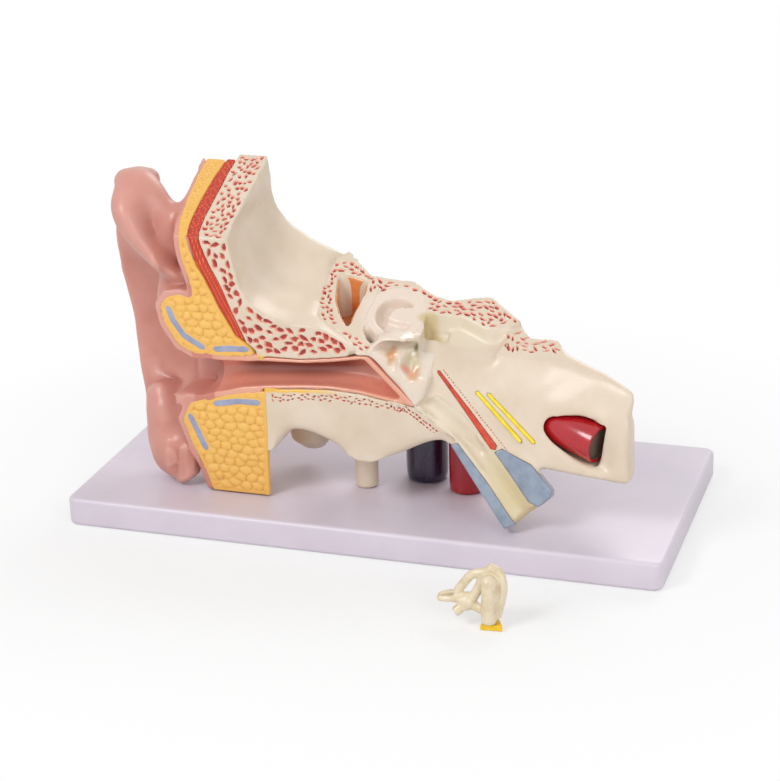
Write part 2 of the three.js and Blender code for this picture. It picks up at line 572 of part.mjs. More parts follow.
function labyrinth() {
  const right = tubeAlong(rightArchPoints, LABYRINTH_TUBE_D * 1.1);
  const left = tubeAlong(leftArchPoints, LABYRINTH_TUBE_D);
  const leaf = tubeAlong(leafPoints, LABYRINTH_TUBE_D * 0.7);
  const column = rod(P3(COLUMN_X, -2, NERVE_STUB_H + GAP), P3(COLUMN_X, -1, 25), LABYRINTH_TUBE_D * 1.6, 12);
  const columnHead = ball(COLUMN_X, -1, 25.5, LABYRINTH_TUBE_D * 0.85);
  const vestibule = ball(-4.5, 1, 13, VESTIBULE_R * 0.9);
  const ampulla = rod(P3(-4, 0, 13), P3(-10, -3, 8), VESTIBULE_R, 12);
  const bridge = rod(P3(-4, 1, 12), P3(COLUMN_X, -1, 9), LABYRINTH_TUBE_D, 12);
  const foot = rod(P3(COLUMN_X, -2, 8), P3(COLUMN_X + 3.5, 1, 8), LABYRINTH_TUBE_D, 12);
  return join(vestibule, right, left, leaf, column, columnHead, ampulla, bridge, foot);
}

function boardBody() {
  const shape = new THREE.Shape();
  const x = BOARD_LENGTH / 2 - BOARD_EDGE;
  const y = BOARD_DEPTH / 2 - BOARD_EDGE;
  const r = BOARD_CORNER - BOARD_EDGE;
  shape.moveTo(x - r, -y);
  shape.absarc(x - r, -y + r, r, -Math.PI / 2, 0);
  shape.absarc(x - r, y - r, r, 0, Math.PI / 2);
  shape.absarc(-x + r, y - r, r, Math.PI / 2, Math.PI);
  shape.absarc(-x + r, -y + r, r, Math.PI, 1.5 * Math.PI);
  const geometry = new THREE.ExtrudeGeometry(shape, { depth: BOARD_THICK - 2 * BOARD_EDGE, bevelThickness: BOARD_EDGE,
    bevelSize: BOARD_EDGE, bevelSegments: 3, curveSegments: 5 });
  geometry.translate(0, 0, BOARD_EDGE);
  return solid(geometry);
}

const screwPlaces = [[-75, 16], [STYLOID_X, STYLOID_DEPTH], JUGULAR_AT];
function screwBody([x, depth], extra) {
  const y = depth + FRONT_CUT_Y;
  const top = BOARD_THICK + SCREW_GRIP + extra;
  const under = extra ? -OVER_CUT : SCREW_RECESS;
  return join(rod(P3(x, y, under), P3(x, y, SCREW_RECESS + SCREW_HEAD_H + extra), SCREW_HEAD_D + 2 * extra),
    rod(P3(x, y, SCREW_RECESS), P3(x, y, top), SCREW_SHANK_D + 2 * extra, 12));
}
const screwHoles = screwPlaces.map((place) => screwBody(place, GAP));
const liftedHoles = screwHoles.map((hole) => hole.translate([0, -FRONT_CUT_Y, -BOARD_THICK]));

// Colours and finishes
const finish = (color, roughness) => new THREE.MeshStandardMaterial({ color, roughness, metalness: 0 });
const boardPlastic = finish('#D2C8D4', 0.45);
const skinPlastic = finish('#D69687', 0.5);
const liningPlastic = finish('#DE8C7A', 0.4);
const fatPlastic = finish('#ECBA54', 0.45);
const cartilagePlastic = finish('#969BB4', 0.5);
const tubeCartilagePlastic = finish('#8793A5', 0.45);
const musclePlastic = finish('#D23C1E', 0.4);
const bonePlastic = finish('#E1D6C3', 0.5);
const antrumPlastic = finish('#D67D46', 0.35);
const cavityPlastic = finish('#E4D3B4', 0.3);
const arteryPlastic = finish('#BE0A1E', 0.2);
const veinPlastic = finish('#28203C', 0.25);
const nervePlastic = finish('#F0D71E', 0.4);
const loosePlastic = finish('#D8C8AA', 0.4);
const screwSteel = new THREE.MeshStandardMaterial({ color: '#A9ABAF', roughness: 0.35, metalness: 1 });

function piece(name, body, material) {
  const mesh = new THREE.Mesh(surface(body), material);
  mesh.name = name;
  return mesh;
}

const group = new THREE.Group();
const anatomy = new THREE.Group();
anatomy.position.set(0, FRONT_CUT_Y, BOARD_THICK);
const taken = new THREE.Group();
taken.position.set(LABYRINTH_X, LABYRINTH_Y, 0);
group.add(anatomy, taken);

group.add(piece('baseboard', cut(boardBody(), ...screwHoles), boardPlastic));
screwPlaces.forEach((place, i) => group.add(piece(`fixing_screw_${i + 1}`, screwBody(place, 0), screwSteel)));

const tubePockets = [tubeBody(lumenOutline, GAP), tubeBody(lateralStripOutline, GAP), tubeBody(hookOutline, GAP)];
const middleEar = cavity(CAVITY_WALL + GAP, CAVITY_DEPTH + CAVITY_WALL + GAP);

anatomy.add(piece('auricle', auricle(), skinPlastic));
anatomy.add(piece('upper_fat_pad', cut(upperFat(0), squamaRoom, muscleRoom, overHead, ...stripPockets, canalPocket,
  inFront), fatPlastic));
anatomy.add(piece('lower_fat_pad', cut(lowerFat(0), ...stripPockets, canalPocket,
  ...liftedHoles), fatPlastic));
for (const name of Object.keys(stripLines)) {
  anatomy.add(piece(name, cut(stripAt(name, 0), squamaRoom, inFront), cartilagePlastic));
}
anatomy.add(piece('temporal_muscle', cut(muscle, overHead), musclePlastic));
anatomy.add(piece('temporal_squama', cut(squamaBody, overHead, tegmenWall(GAP), canalPocket), bonePlastic));
anatomy.add(piece('canal_lining', cut(canalOuter, canal(0), eardrumSlab(0, FAR), inFront), liningPlastic));
const eardrum = canal(CANAL_WALL).intersect(eardrumSlab(GAP, EARDRUM_WALL));
anatomy.add(piece('tympanic_membrane', cut(eardrum, inFront), liningPlastic));
anatomy.add(piece('tegmen_wall', cut(tegmenWall(0).intersect(underPetrousCut(0)), antrumPocket, canalPocket, middleEar),
  bonePlastic));
const antrumCup = pillar(outset(antrumOutline, -GAP), ANTRUM_FLOOR - ANTRUM_WALL, FAR);
const antrumHollow = pillar(outset(antrumOutline, -ANTRUM_WALL), ANTRUM_FLOOR, FAR);
anatomy.add(piece('antrum_lining', cut(antrumCup.intersect(underPetrousCut(-1)), antrumHollow, canalPocket),
  antrumPlastic));
const socket = cut(pillar(round(CAPSULE_X, CAPSULE_DEPTH - 1, SOCKET_R), 0, FAR), pillar(postOutline, -OVER_CUT, 2 * FAR),
  underPetrousCut(-SOCKET_DEEP));
anatomy.add(piece('otic_capsule', cut(capsule(0).intersect(underPetrousCut(0)), socket, tegmenWall(GAP), canalPocket,
  middleEar), bonePlastic));
anatomy.add(piece('tympanic_cavity', cut(cavity(CAVITY_WALL, CAVITY_DEPTH + CAVITY_WALL), cavity(0, CAVITY_DEPTH),
  canalPocket, inFront, ...tubePockets, tegmenWall(GAP)), cavityPlastic));

const petrousTools = [tegmenWall(GAP), capsule(GAP), middleEar, canalRoom, ...tubePockets, tensorBody(GAP),
  nerveBody('petrosal_nerve_lesser', GAP), nerveBody('petrosal_nerve_greater', GAP), carotidWindow,
  rod(CAROTID_FROM, CAROTID_TO, APEX_CAROTID_D + 2 * GAP),
  pillar(stepOutline, 0, FAR).subtract(underPetrousCut(-STEP_DEEP)),
  pillar(nerveCanalOutline, 0, FAR).subtract(underPetrousCut(-NERVE_CANAL_DEEP)),
  jugular(GAP), carotid(GAP)];
const tympanic = join(slab(tympanicOutline, 0, TYMPANIC_DEPTH), styloid);
const tympanicTool = slab(outset(tympanicOutline, GAP), -OVER_CUT, TYMPANIC_DEPTH + GAP);
anatomy.add(piece('petrous_bone', cut(petrousBody(), ...petrousTools, tympanicTool), bonePlastic));
anatomy.add(piece('tympanic_bone', cut(tympanic, canalPocket, ...tubePockets, ...liftedHoles, middleEar,
  jugular(GAP), carotid(GAP)), bonePlastic));
anatomy.add(piece('mastoid_process', cut(mastoid(), tegmenWall(GAP), canalPocket, capsule(GAP)), bonePlastic));

const bore = boreLine.map(([u, v]) => P3(u, v, 0).applyMatrix4(tubeFrame));
const tubeBore = join(rod(bore[0], bore[1], 2 * TUBE_BORE_R, 12), rod(bore[1], bore[2], 2 * TUBE_BORE_R, 12),
  rod(bore[2], bore[3], 2 * TUBE_BORE_R, 12));
anatomy.add(piece('eustachian_tube', cut(tubeBody(lumenOutline, 0), tubeBore, canalPocket, middleEar, tensorBody(GAP)), bonePlastic));
anatomy.add(piece('tube_cartilage_lateral', tubeBody(lateralStripOutline, 0), tubeCartilagePlastic));
anatomy.add(piece('tube_cartilage_medial', tubeBody(hookOutline, 0), tubeCartilagePlastic));
anatomy.add(piece('tensor_tympani', tensorBody(0), musclePlastic));
for (const name of Object.keys(nerveLines)) {
  anatomy.add(piece(name, nerveBody(name, 0), nervePlastic));
}
anatomy.add(piece('carotid_artery_apex', cut(rod(CAROTID_FROM, CAROTID_TO, APEX_CAROTID_D),
  rod(CAROTID_FROM.clone().lerp(CAROTID_TO, 0.5), carotidMouth, CAROTID_BORE_D)), arteryPlastic));
anatomy.add(piece('carotid_artery_stub', carotid(0), arteryPlastic));
anatomy.add(piece('jugular_vein_stub', cut(jugular(0), ...liftedHoles), veinPlastic));

const underLabyrinth = box(P3(-FAR, -FAR, -FAR), P3(FAR, FAR, NERVE_STUB_H + GAP));
taken.add(piece('labyrinth', cut(labyrinth(), underLabyrinth), loosePlastic));
taken.add(piece('labyrinth_nerve', pillar(nerveStubOutline, GAP, NERVE_STUB_H), nervePlastic));

export default group;
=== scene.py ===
"""Looks of the ear anatomy model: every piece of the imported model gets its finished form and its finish.

Sizes in the drawing tables are millimetres in the model's own frame: X from the outer ear to the
petrous apex, Y to the back, Z up from the underside of the board. Blender itself works in metres.
"""
import math

import bpy
import numpy as np
from mathutils import Matrix, Vector


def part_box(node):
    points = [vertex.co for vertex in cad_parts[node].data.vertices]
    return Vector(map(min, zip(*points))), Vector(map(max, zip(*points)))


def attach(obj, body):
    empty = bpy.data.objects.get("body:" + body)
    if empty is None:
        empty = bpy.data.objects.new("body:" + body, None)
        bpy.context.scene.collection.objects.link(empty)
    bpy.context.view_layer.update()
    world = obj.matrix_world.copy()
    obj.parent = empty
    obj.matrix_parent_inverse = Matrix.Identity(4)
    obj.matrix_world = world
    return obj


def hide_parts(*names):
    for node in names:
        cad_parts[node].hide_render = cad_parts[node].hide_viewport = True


bl_info = {
    "name": "Ear anatomy model",
    "version": (1, 0, 0),
    "blender": (4, 5, 0),
    "location": "3D View > Sidebar > Ear Model",
    "description": "Builds the finished pieces of a classroom ear model on its board",
    "category": "Object",
}

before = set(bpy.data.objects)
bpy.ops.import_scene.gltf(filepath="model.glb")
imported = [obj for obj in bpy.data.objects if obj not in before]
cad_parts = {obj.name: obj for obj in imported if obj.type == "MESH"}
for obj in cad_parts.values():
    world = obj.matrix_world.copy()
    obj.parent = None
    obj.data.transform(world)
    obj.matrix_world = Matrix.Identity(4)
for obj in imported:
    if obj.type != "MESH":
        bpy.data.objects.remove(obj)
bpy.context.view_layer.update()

MM = 0.001
BOARD_TOP = 16.5

# The cuts through the head. The upper one rises to the back, the petrous one also falls to the apex
FRONT_CUT = -50.0
UPPER_CUT_HEIGHT = 166
UPPER_CUT_RISE = 0.5
PETROUS_CUT_HEIGHT = 107.3
PETROUS_CUT_FALL = 0.1
PETROUS_CUT_RISE = 0.527
# How far the step in the pyramid lies under the petrous cut
STEP_DOWN = 3.2


def unit(direction):
    """A direction with the length one."""
    direction = np.array(direction, float)
    return direction / np.linalg.norm(direction)


def plane(normal, point):
    """A plane that the model is cut along, as its outward direction and its distance."""
    direction = unit(normal)
    return direction, float(direction @ np.array(point, float))


def petrous_cut(x, y):
    """Height of the petrous cut over a place in plan."""
    return PETROUS_CUT_HEIGHT - PETROUS_CUT_FALL * x + PETROUS_CUT_RISE * (y - FRONT_CUT)


PETROUS_OUT = (PETROUS_CUT_FALL, -PETROUS_CUT_RISE, 1)
FRONT = plane((0, -1, 0), (0, FRONT_CUT, 0))
UPPER = plane((0, -UPPER_CUT_RISE, 1), (0, FRONT_CUT, UPPER_CUT_HEIGHT))
PETROUS = plane(PETROUS_OUT, (0, FRONT_CUT, PETROUS_CUT_HEIGHT))
LOWER_STEP = plane(PETROUS_OUT, (0, FRONT_CUT, PETROUS_CUT_HEIGHT - STEP_DOWN))

# The cut face of the Eustachian tube: its corner, the way down the tube, across it and out of it
TUBE_ORIGIN = np.array((26.0, -50.0, 79.0))
TUBE_DOWN = unit((0.683, -0.2, -0.702))
TUBE_ACROSS = unit((0.7454, 0.2858, 0.6023))
TUBE_OUT = np.cross(TUBE_DOWN, TUBE_ACROSS)
TUBE = (TUBE_OUT, float(TUBE_OUT @ TUBE_ORIGIN))

# The carotid artery in the apex: the middle of its inner end, and the way it runs
APEX_START = (97, -31, 71.5)
APEX_ALONG = (32, -15, -5.5)
# Where the two vessels stand on the board, and where the three screws come up through it
ARTERY_FOOT = (46, -12, BOARD_TOP)
VEIN_FOOT = (19.5, -1, BOARD_TOP)
SCREW_PLACES = ((-75, -34), (-10.5, -20), (19.5, -1))


# Finishes

# Grit of the brush on the fat and the muscle, a little over 1 mm, drawn as coarse as it has to be to show
FINE_GRIT = 900.0


def linear(code):
    """A colour written as on a paint card, #RRGGBB, as the linear values that the shaders take.

    A colour from the settings is linear already, and stays as it is."""
    if not isinstance(code, str):
        return list(code)
    parts = [int(code[i:i + 2], 16) / 255 for i in (1, 3, 5)]
    return [v / 12.92 if v <= 0.04045 else ((v + 0.055) / 1.055) ** 2.4 for v in parts] + [1.0]


def node(tree, kind, settings=None, links=None):
    """Adds a node, sets its own settings and its sockets, and links sockets to other nodes' outputs."""
    made = tree.nodes.new(kind)
    for key, value in (settings or {}).items():
        if isinstance(key, str) and hasattr(made, key):
            setattr(made, key, value)
        else:
            made.inputs[key].default_value = value
    for key, output in (links or {}).items():
        tree.links.new(output, made.inputs[key])
    return made


def new_material(name):
    """An empty material and its node tree."""
    material = bpy.data.materials.new(name)
    material.use_nodes = True
    material.node_tree.nodes.clear()
    return material, material.node_tree


def finish_with(tree, colour, roughness, bump, settings):
    """The plastic shader at the end of every finish."""
    values = {"IOR": 1.53, "Coat Roughness": 0.12, **settings}
    links = {"Base Color": colour, "Roughness": roughness}
    if bump:
        links["Normal"] = bump
    shader = node(tree, "ShaderNodeBsdfPrincipled", values, links)
    node(tree, "ShaderNodeOutputMaterial", links={"Surface": shader.outputs[0]})


def brushed(tree, mottle_mm, roughness, grit_scale, grain):
    """What every hand-painted surface has: a slow drift of shade, an uneven sheen and fine brush grain."""
    place = node(tree, "ShaderNodeTexCoord").outputs["Object"]
    drift = node(tree, "ShaderNodeTexNoise",
                 {"Scale": 1 / (mottle_mm * MM), "Detail": 4.0, "Roughness": 0.6}, {"Vector": place})
    sheen = node(tree, "ShaderNodeMapRange", {"To Min": roughness - 0.06, "To Max": roughness + 0.08},
                 {"Value": drift.outputs[0]})
    grit = node(tree, "ShaderNodeTexNoise", {"Scale": grit_scale, "Detail": 3.0}, {"Vector": place})
    bump = node(tree, "ShaderNodeBump", {"Strength": grain, "Distance": 0.5 * MM},
                {"Height": grit.outputs[0]})
    return drift.outputs[0], sheen.outputs[0], bump.outputs[0]


def moulded(name, shades, mottle_mm, roughness, settings=None, grain_mm=1.2, grain=0.06, cloud=0.5,
            paint=(), soft_paint=False):
    """Soft hand-painted plastic: three shades that drift into each other.

    Each paint is an attribute of the piece with a colour: it covers where the attribute passes a half."""
    material, tree = new_material(name)
    drift, sheen, bump = brushed(tree, mottle_mm, roughness, 1 / (grain_mm * MM), grain)
    ramp = node(tree, "ShaderNodeValToRGB", links={"Fac": drift})
    ramp.color_ramp.elements[0].position = 0.5 - cloud / 2
    ramp.color_ramp.elements[0].color = linear(shades[0])
    ramp.color_ramp.elements[1].position = 0.5 + cloud / 2
    ramp.color_ramp.elements[1].color = linear(shades[2])
    ramp.color_ramp.elements.new(0.5).color = linear(shades[1])
    colour = ramp.outputs[0]
    for attribute, shade in paint:
        where = node(tree, "ShaderNodeAttribute", {"attribute_name": attribute})
        edge = 0.5 if soft_paint else 0.15
        cover = node(tree, "ShaderNodeMapRange", {"From Min": 0.5 - edge, "From Max": 0.5 + edge},
                     {"Value": where.outputs["Fac"]})
        mix = node(tree, "ShaderNodeMix", {"data_type": "RGBA", 7: linear(shade)},
                   {0: cover.outputs[0], 6: colour})
        colour = mix.outputs[2]
    finish_with(tree, colour, sheen, bump, settings or {})
    return material


def tinted(name, shades, attribute, span, mottle_mm, roughness, settings=None, grain=0.06):
    """Painted PVC whose colour runs from dark to light with a value kept on the piece: brown lines, painted
    shade and painted highlight on the fat's lobules, streaks on the muscle.
    """
    material, tree = new_material(name)
    drift, sheen, bump = brushed(tree, mottle_mm, roughness, FINE_GRIT, grain)
    relief = node(tree, "ShaderNodeAttribute", {"attribute_name": attribute})
    part = node(tree, "ShaderNodeMath", {"operation": "MULTIPLY_ADD", 1: span, 2: 0.5 - span / 2},
                {0: drift})
    level = node(tree, "ShaderNodeMath", {"operation": "MULTIPLY_ADD", 1: 1.0},
                 {0: relief.outputs["Fac"], 2: part.outputs[0]})
    shift = node(tree, "ShaderNodeMath", {"operation": "SUBTRACT", 1: 0.5}, {0: level.outputs[0]})
    ramp = node(tree, "ShaderNodeValToRGB", links={"Fac": shift.outputs[0]})
    ramp.color_ramp.elements[0].color = linear(shades[0])
    ramp.color_ramp.elements[1].color = linear(shades[-1])
    for i, shade in enumerate(shades[1:-1], 1):
        ramp.color_ramp.elements.new(i / (len(shades) - 1)).color = linear(shade)
    finish_with(tree, ramp.outputs[0], sheen, bump, settings or {})
    return material


# Work on meshes

# Corners nearer than this are one, as packed, and in a copy that grows
FINE_MERGE = 0.005
COARSE_MERGE = 0.2
# How far the layers lean out where the front and the upper cut meet, and how far that reaches down and up
LEAN = 5
LEAN_DOWN = 18
LEAN_UP = 10.5
# Vertices whose distances are worked out in one go
BATCH = 4000
TOP_OF_ALL = 260


def alone(piece):
    """Selects one piece and nothing else."""
    if bpy.context.mode != "OBJECT":
        bpy.ops.object.mode_set(mode="OBJECT")
    bpy.ops.object.select_all(action="DESELECT")
    piece.select_set(True)
    bpy.context.view_layer.objects.active = piece


def smooth(piece, degrees):
    """Soft shading, with a hard line where two faces meet at more than an angle."""
    alone(piece)
    bpy.ops.object.shade_smooth_by_angle(angle=math.radians(degrees))


def face_out(piece):
    """Turns all faces of a closed piece outwards."""
    alone(piece)
    bpy.ops.object.mode_set(mode="EDIT")
    bpy.ops.mesh.select_all(action="SELECT")
    bpy.ops.mesh.normals_make_consistent(inside=False)
    bpy.ops.object.mode_set(mode="OBJECT")


def twin_of(piece, name=None):
    """A copy of a piece with a mesh of its own."""
    twin = piece.copy()
    twin.data = piece.data.copy()
    if name:
        twin.name = twin.data.name = name
    bpy.context.collection.objects.link(twin)
    return twin


def apply(piece, kind, **settings):
    """Adds a modifier, sets it and applies it."""
    alone(piece)
    modifier = piece.modifiers.new(kind.title(), kind)
    for key, value in settings.items():
        setattr(modifier, key, value)
    bpy.ops.object.modifier_apply(modifier=modifier.name)


def copy_of(name, *nodes, merge=FINE_MERGE):
    """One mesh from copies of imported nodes, corners nearer than the merge distance made one."""
    bpy.ops.object.select_all(action="DESELECT")
    copies = []
    for each in nodes:
        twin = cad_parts[each].copy()
        twin.data = twin.data.copy()
        twin.parent = None
        twin.matrix_world = Matrix.Identity(4)
        bpy.context.collection.objects.link(twin)
        twin.select_set(True)
        twin.hide_set(False)
        copies.append(twin)
    bpy.context.view_layer.objects.active = copies[0]
    if len(copies) > 1:
        bpy.ops.object.join()
    piece = copies[0]
    piece.name = name
    piece.data.name = name
    piece.data.materials.clear()
    bpy.ops.object.mode_set(mode="EDIT")
    bpy.ops.mesh.select_all(action="SELECT")
    bpy.ops.mesh.remove_doubles(threshold=merge * MM)
    bpy.ops.object.mode_set(mode="OBJECT")
    return piece


def corners(piece):
    """Vertex places in millimetres."""
    flat = np.empty(3 * len(piece.data.vertices))
    piece.data.vertices.foreach_get("co", flat)
    return flat.reshape(-1, 3) / MM


def set_corners(piece, places):
    """Moves the vertices to places in millimetres."""
    piece.data.vertices.foreach_set("co", (places * MM).ravel())
    piece.data.update()


def directions(piece):
    """Which way each vertex faces."""
    flat = np.empty(3 * len(piece.data.vertices), np.float32)
    piece.data.vertex_normals.foreach_get("vector", flat)
    return flat.reshape(-1, 3).astype(float)


def edge_ends(piece):
    """The two vertices of every edge."""
    flat = np.empty(2 * len(piece.data.edges), np.int64)
    piece.data.edges.foreach_get("vertices", flat)
    return flat.reshape(-1, 2).T


def smoothed(places, ends, amount):
    """Each value moved towards the mean of its neighbours' by a share."""
    a, b = ends
    count = len(places)
    degree = np.maximum(np.bincount(a, minlength=count) + np.bincount(b, minlength=count), 1)
    mean = np.stack([(np.bincount(a, places[b, k], count) + np.bincount(b, places[a, k], count)) / degree
                     for k in range(places.shape[1])], 1)
    return places + amount * (mean - places)


def facing(piece, cut, reach=0.8, lean=0.75):
    """Which vertices lie on a cut face."""
    normal, distance = cut
    return (np.abs(corners(piece) @ normal - distance) < reach) & (directions(piece) @ normal > lean)


def settle(piece, cuts=(), rounds=25, soften=1, ease=0, reach=0.8):
    """Takes the steps out of a voxel surface, keeps the cut faces flat and then softens the edges a little.

    The easing rounds off the outline that a piece shows on its cut faces."""
    places = corners(piece)
    ends = edge_ends(piece)
    held = [(facing(piece, cut, reach), cut) for cut in cuts]
    for _ in range(rounds):
        for amount in (0.6, -0.62):
            places = smoothed(places, ends, amount)
            for on, (normal, distance) in held:
                places[on] -= np.outer(places[on] @ normal - distance, normal)
    for _ in range(ease):
        places = smoothed(places, ends, 0.5)
        for on, (normal, distance) in held:
            places[on] -= np.outer(places[on] @ normal - distance, normal)
    for _ in range(soften):
        places = smoothed(places, ends, 0.5)
    set_corners(piece, places)


def refine(name, nodes, voxel, cuts=(), rounds=25, soften=1, ease=0, grow=0.0, fills=(), tools=()):
    """A fine, soft-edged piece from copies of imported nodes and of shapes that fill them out."""
    piece = copy_of(name, *nodes, merge=COARSE_MERGE if grow else FINE_MERGE)
    if grow:
        apply(piece, "DISPLACE", strength=grow * MM, mid_level=0.0)
    if fills:
        alone(piece)
        for fill in fills:
            fill.select_set(True)
        bpy.ops.object.join()
    apply(piece, "REMESH", mode="VOXEL", voxel_size=voxel * MM)
    for tool in tools:
        carve(piece, tool)
    if tools:
        apply(piece, "REMESH", mode="VOXEL", voxel_size=voxel * MM)
        piece.data.materials.clear()
    settle(piece, cuts, rounds, soften, ease)
    alone(piece)
    bpy.ops.object.shade_smooth()
    return piece


def melt(piece, share, passes, cuts=()):
    """Rounds a piece off where share is near one, and leaves its cut faces flat."""
    places = corners(piece)
    ends = edge_ends(piece)
    held = [(facing(piece, cut) & (share < 0.5), cut) for cut in cuts]
    part = share[:, None] * 0.5
    for _ in range(passes):
        places += part * (smoothed(places, ends, 1.0) - places)
        for on, (normal, distance) in held:
            places[on] -= np.outer(places[on] @ normal - distance, normal)
    set_corners(piece, places)


def lean(piece):
    """Carries the layers at the side of the head outwards where the two cuts meet."""
    places = corners(piece)
    x, _, z = places.T
    over = z - UPPER_CUT_HEIGHT
    away = np.where(over < 0, -over / LEAN_DOWN, over / LEAN_UP)
    places[:, 0] -= LEAN * np.exp(-away ** 2) * step(x, -124, -110) * (1 - step(x, -80, -50))
    set_corners(piece, places)


def hollows(piece, rounds, size):
    """How far each place lies under the surface around it, as a share of a size.

    Crowns are below nought."""
    places = corners(piece)
    ends = edge_ends(piece)
    soft = places
    for _ in range(rounds):
        soft = smoothed(soft, ends, 0.8)
    return ((soft - places) * directions(piece)).sum(1) / size


def step(values, low, high):
    """From nought at low to one at high, with soft ends."""
    part = np.clip((values - low) / (high - low), 0, 1)
    return part * part * (3 - 2 * part)


def stroke(places, line, reach, amount, way):
    """Sculpts a ridge or a groove: moves what lies near a line of points, most on the line itself."""
    line = np.array(line, float)
    best = np.full(len(places), 1e9)
    for a, b in zip(line[:-1], line[1:]):
        run = b - a
        along = np.clip((places - a) @ run / (run @ run), 0, 1)
        best = np.minimum(best, np.linalg.norm(places - a - along[:, None] * run, axis=1))
    return places + np.exp(-(best / reach) ** 2)[:, None] * amount * np.asarray(way, float)


def mark(piece, name, values):
    """Keeps a value of each vertex with the piece, for its finish to read."""
    layer = piece.data.attributes.get(name) or piece.data.attributes.new(name, "FLOAT", "POINT")
    layer.data.foreach_set("value", np.asarray(values, np.float32))


def near(points, seeds, many=1):
    """Distances to the nearest seeds, in order, and which seed is the nearest."""
    found = np.empty((len(points), many))
    first = np.empty(len(points), int)
    for start in range(0, len(points), BATCH):
        span = slice(start, start + BATCH)
        gaps = ((points[span][:, None, :] - seeds[None, :, :]) ** 2).sum(2)
        first[span] = gaps.argmin(1)
        found[span] = np.sqrt(np.sort(np.partition(gaps, many - 1, 1)[:, :many], 1))
    return found, first


def margins(piece, on):
    """Distance of each vertex on a cut face from that face's rim, and the way to it."""
    places = corners(piece)
    a, b = edge_ends(piece)
    rim = np.zeros(len(on), bool)
    rim[a[on[a] & ~on[b]]] = True
    rim[b[on[b] & ~on[a]]] = True
    gap = np.zeros(len(on))
    way = np.zeros((len(on), 3))
    if rim.any() and on.any():
        distance, which = near(places[on], places[rim])
        gap[on] = distance[:, 0]
        way[on] = places[rim][which] - places[on]
    return gap, way


def in_face(cut):
    """Two directions in a cut face: level, and up the face."""
    normal = cut[0]
    level = np.cross((0, 0, 1), normal)
    level /= np.linalg.norm(level)
    return level, np.cross(normal, level)


def inside(outline, x, y):
    """Whether points lie in a closed outline."""
    result = np.zeros(len(x), bool)
    for (x1, y1), (x2, y2) in zip(outline, outline[1:] + outline[:1]):
        crossing = ((y1 > y) != (y2 > y)) & (x < (x2 - x1) * (y - y1) / ((y2 - y1) or 1e-9) + x1)
        result ^= crossing
    return result


def carve(piece, tool, operation="DIFFERENCE"):
    """Cuts a piece with a closed tool, and puts the tool away."""
    apply(piece, "BOOLEAN", operation=operation, object=tool, solver="MANIFOLD")
    bpy.data.objects.remove(tool)
    if not piece.data.polygons:
        raise RuntimeError(f"{piece.name} is empty after a cut")


def prism(name, outline, low, high, axis=2, frame_of=None):
    """A straight block over an outline, between two heights, two depths or two levels of its own frame."""
    bpy.ops.object.select_all(action="DESELECT")
    bpy.ops.mesh.primitive_cylinder_add(vertices=len(outline), end_fill_type="NGON")
    tool = bpy.context.object
    tool.name = name
    for i, (u, v) in enumerate(outline):
        for k, w in ((0, low), (1, high)):
            if frame_of is None:
                place = (u, v, w) if axis == 2 else (u, w, v)
            else:
                origin, first, second, third = frame_of
                place = origin + u * first + v * second + w * third
            tool.data.vertices[2 * i + k].co = Vector(place) * MM
    face_out(tool)
    return tool


def bed(piece, *names):
    """Lets finished neighbours into a piece, so that they meet without a gap."""
    for name in names:
        other = bpy.data.objects.get(name + "_cast")
        if other is None:
            raise RuntimeError(f"{piece.name} needs {name} first")
        carve(piece, twin_of(other))
    piece.data.materials.clear()
    piece.data.polygons.foreach_set("material_index", np.zeros(len(piece.data.polygons), np.int32))


def above_petrous(name, outline, drops):
    """A block over a plan outline, its underside under the petrous cut by a distance at each point."""
    block = prism(name, outline, 0, TOP_OF_ALL)
    for i, ((x, y), drop) in enumerate(zip(outline, drops)):
        block.data.vertices[2 * i].co.z = (petrous_cut(x, y) - drop) * MM
    return block


def below_petrous(block, drop):
    """Lowers what of a block stands over a level under the petrous cut."""
    for vertex in block.data.vertices:
        x, y, z = vertex.co / MM
        vertex.co.z = min(z, petrous_cut(x, y) - drop) * MM
    return block


def ball(place, radii):
    """A round form that fills a piece out."""
    bpy.ops.object.select_all(action="DESELECT")
    bpy.ops.mesh.primitive_uv_sphere_add(segments=40, ring_count=20, radius=MM)
    form = bpy.context.object
    form.data.transform(Matrix.Translation(Vector(place) * MM) @ Matrix.Diagonal((*radii, 1.0)))
    return form


def turned(name, profile, start, along, sides=96):
    """A round piece spun from a profile of radius and distance along its axis."""
    turn = Vector(along).normalized().to_track_quat("Z", "Y").to_matrix().to_4x4()
    mesh = bpy.data.meshes.new(name)
    mesh.from_pydata([(r * MM, 0, h * MM) for r, h in profile],
                     [(i, i + 1) for i in range(len(profile) - 1)], [])
    piece = bpy.data.objects.new(name, mesh)
    bpy.context.collection.objects.link(piece)
    alone(piece)
    bpy.ops.object.mode_set(mode="EDIT")
    bpy.ops.mesh.select_all(action="SELECT")
    bpy.ops.mesh.spin(steps=sides, angle=2 * math.pi, center=(0, 0, 0), axis=(0, 0, 1))
    bpy.ops.mesh.select_all(action="SELECT")
    bpy.ops.mesh.remove_doubles(threshold=FINE_MERGE * MM)
    bpy.ops.mesh.normals_make_consistent(inside=False)
    bpy.ops.object.mode_set(mode="OBJECT")
    piece.data.transform(Matrix.Translation(Vector(start) * MM) @ turn)
    smooth(piece, 40)
    return piece


def keep(piece, slot, material, *nodes, body="root"):
    """Rides a finished piece on its body, hides the nodes it stands for, and paints it; its slot is not
    used.
    """
    if material is not None:
        piece.data.materials.clear()
        piece.data.materials.append(material)
    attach(piece, body)
    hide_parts(*nodes)


# Marks cut into the bone faces

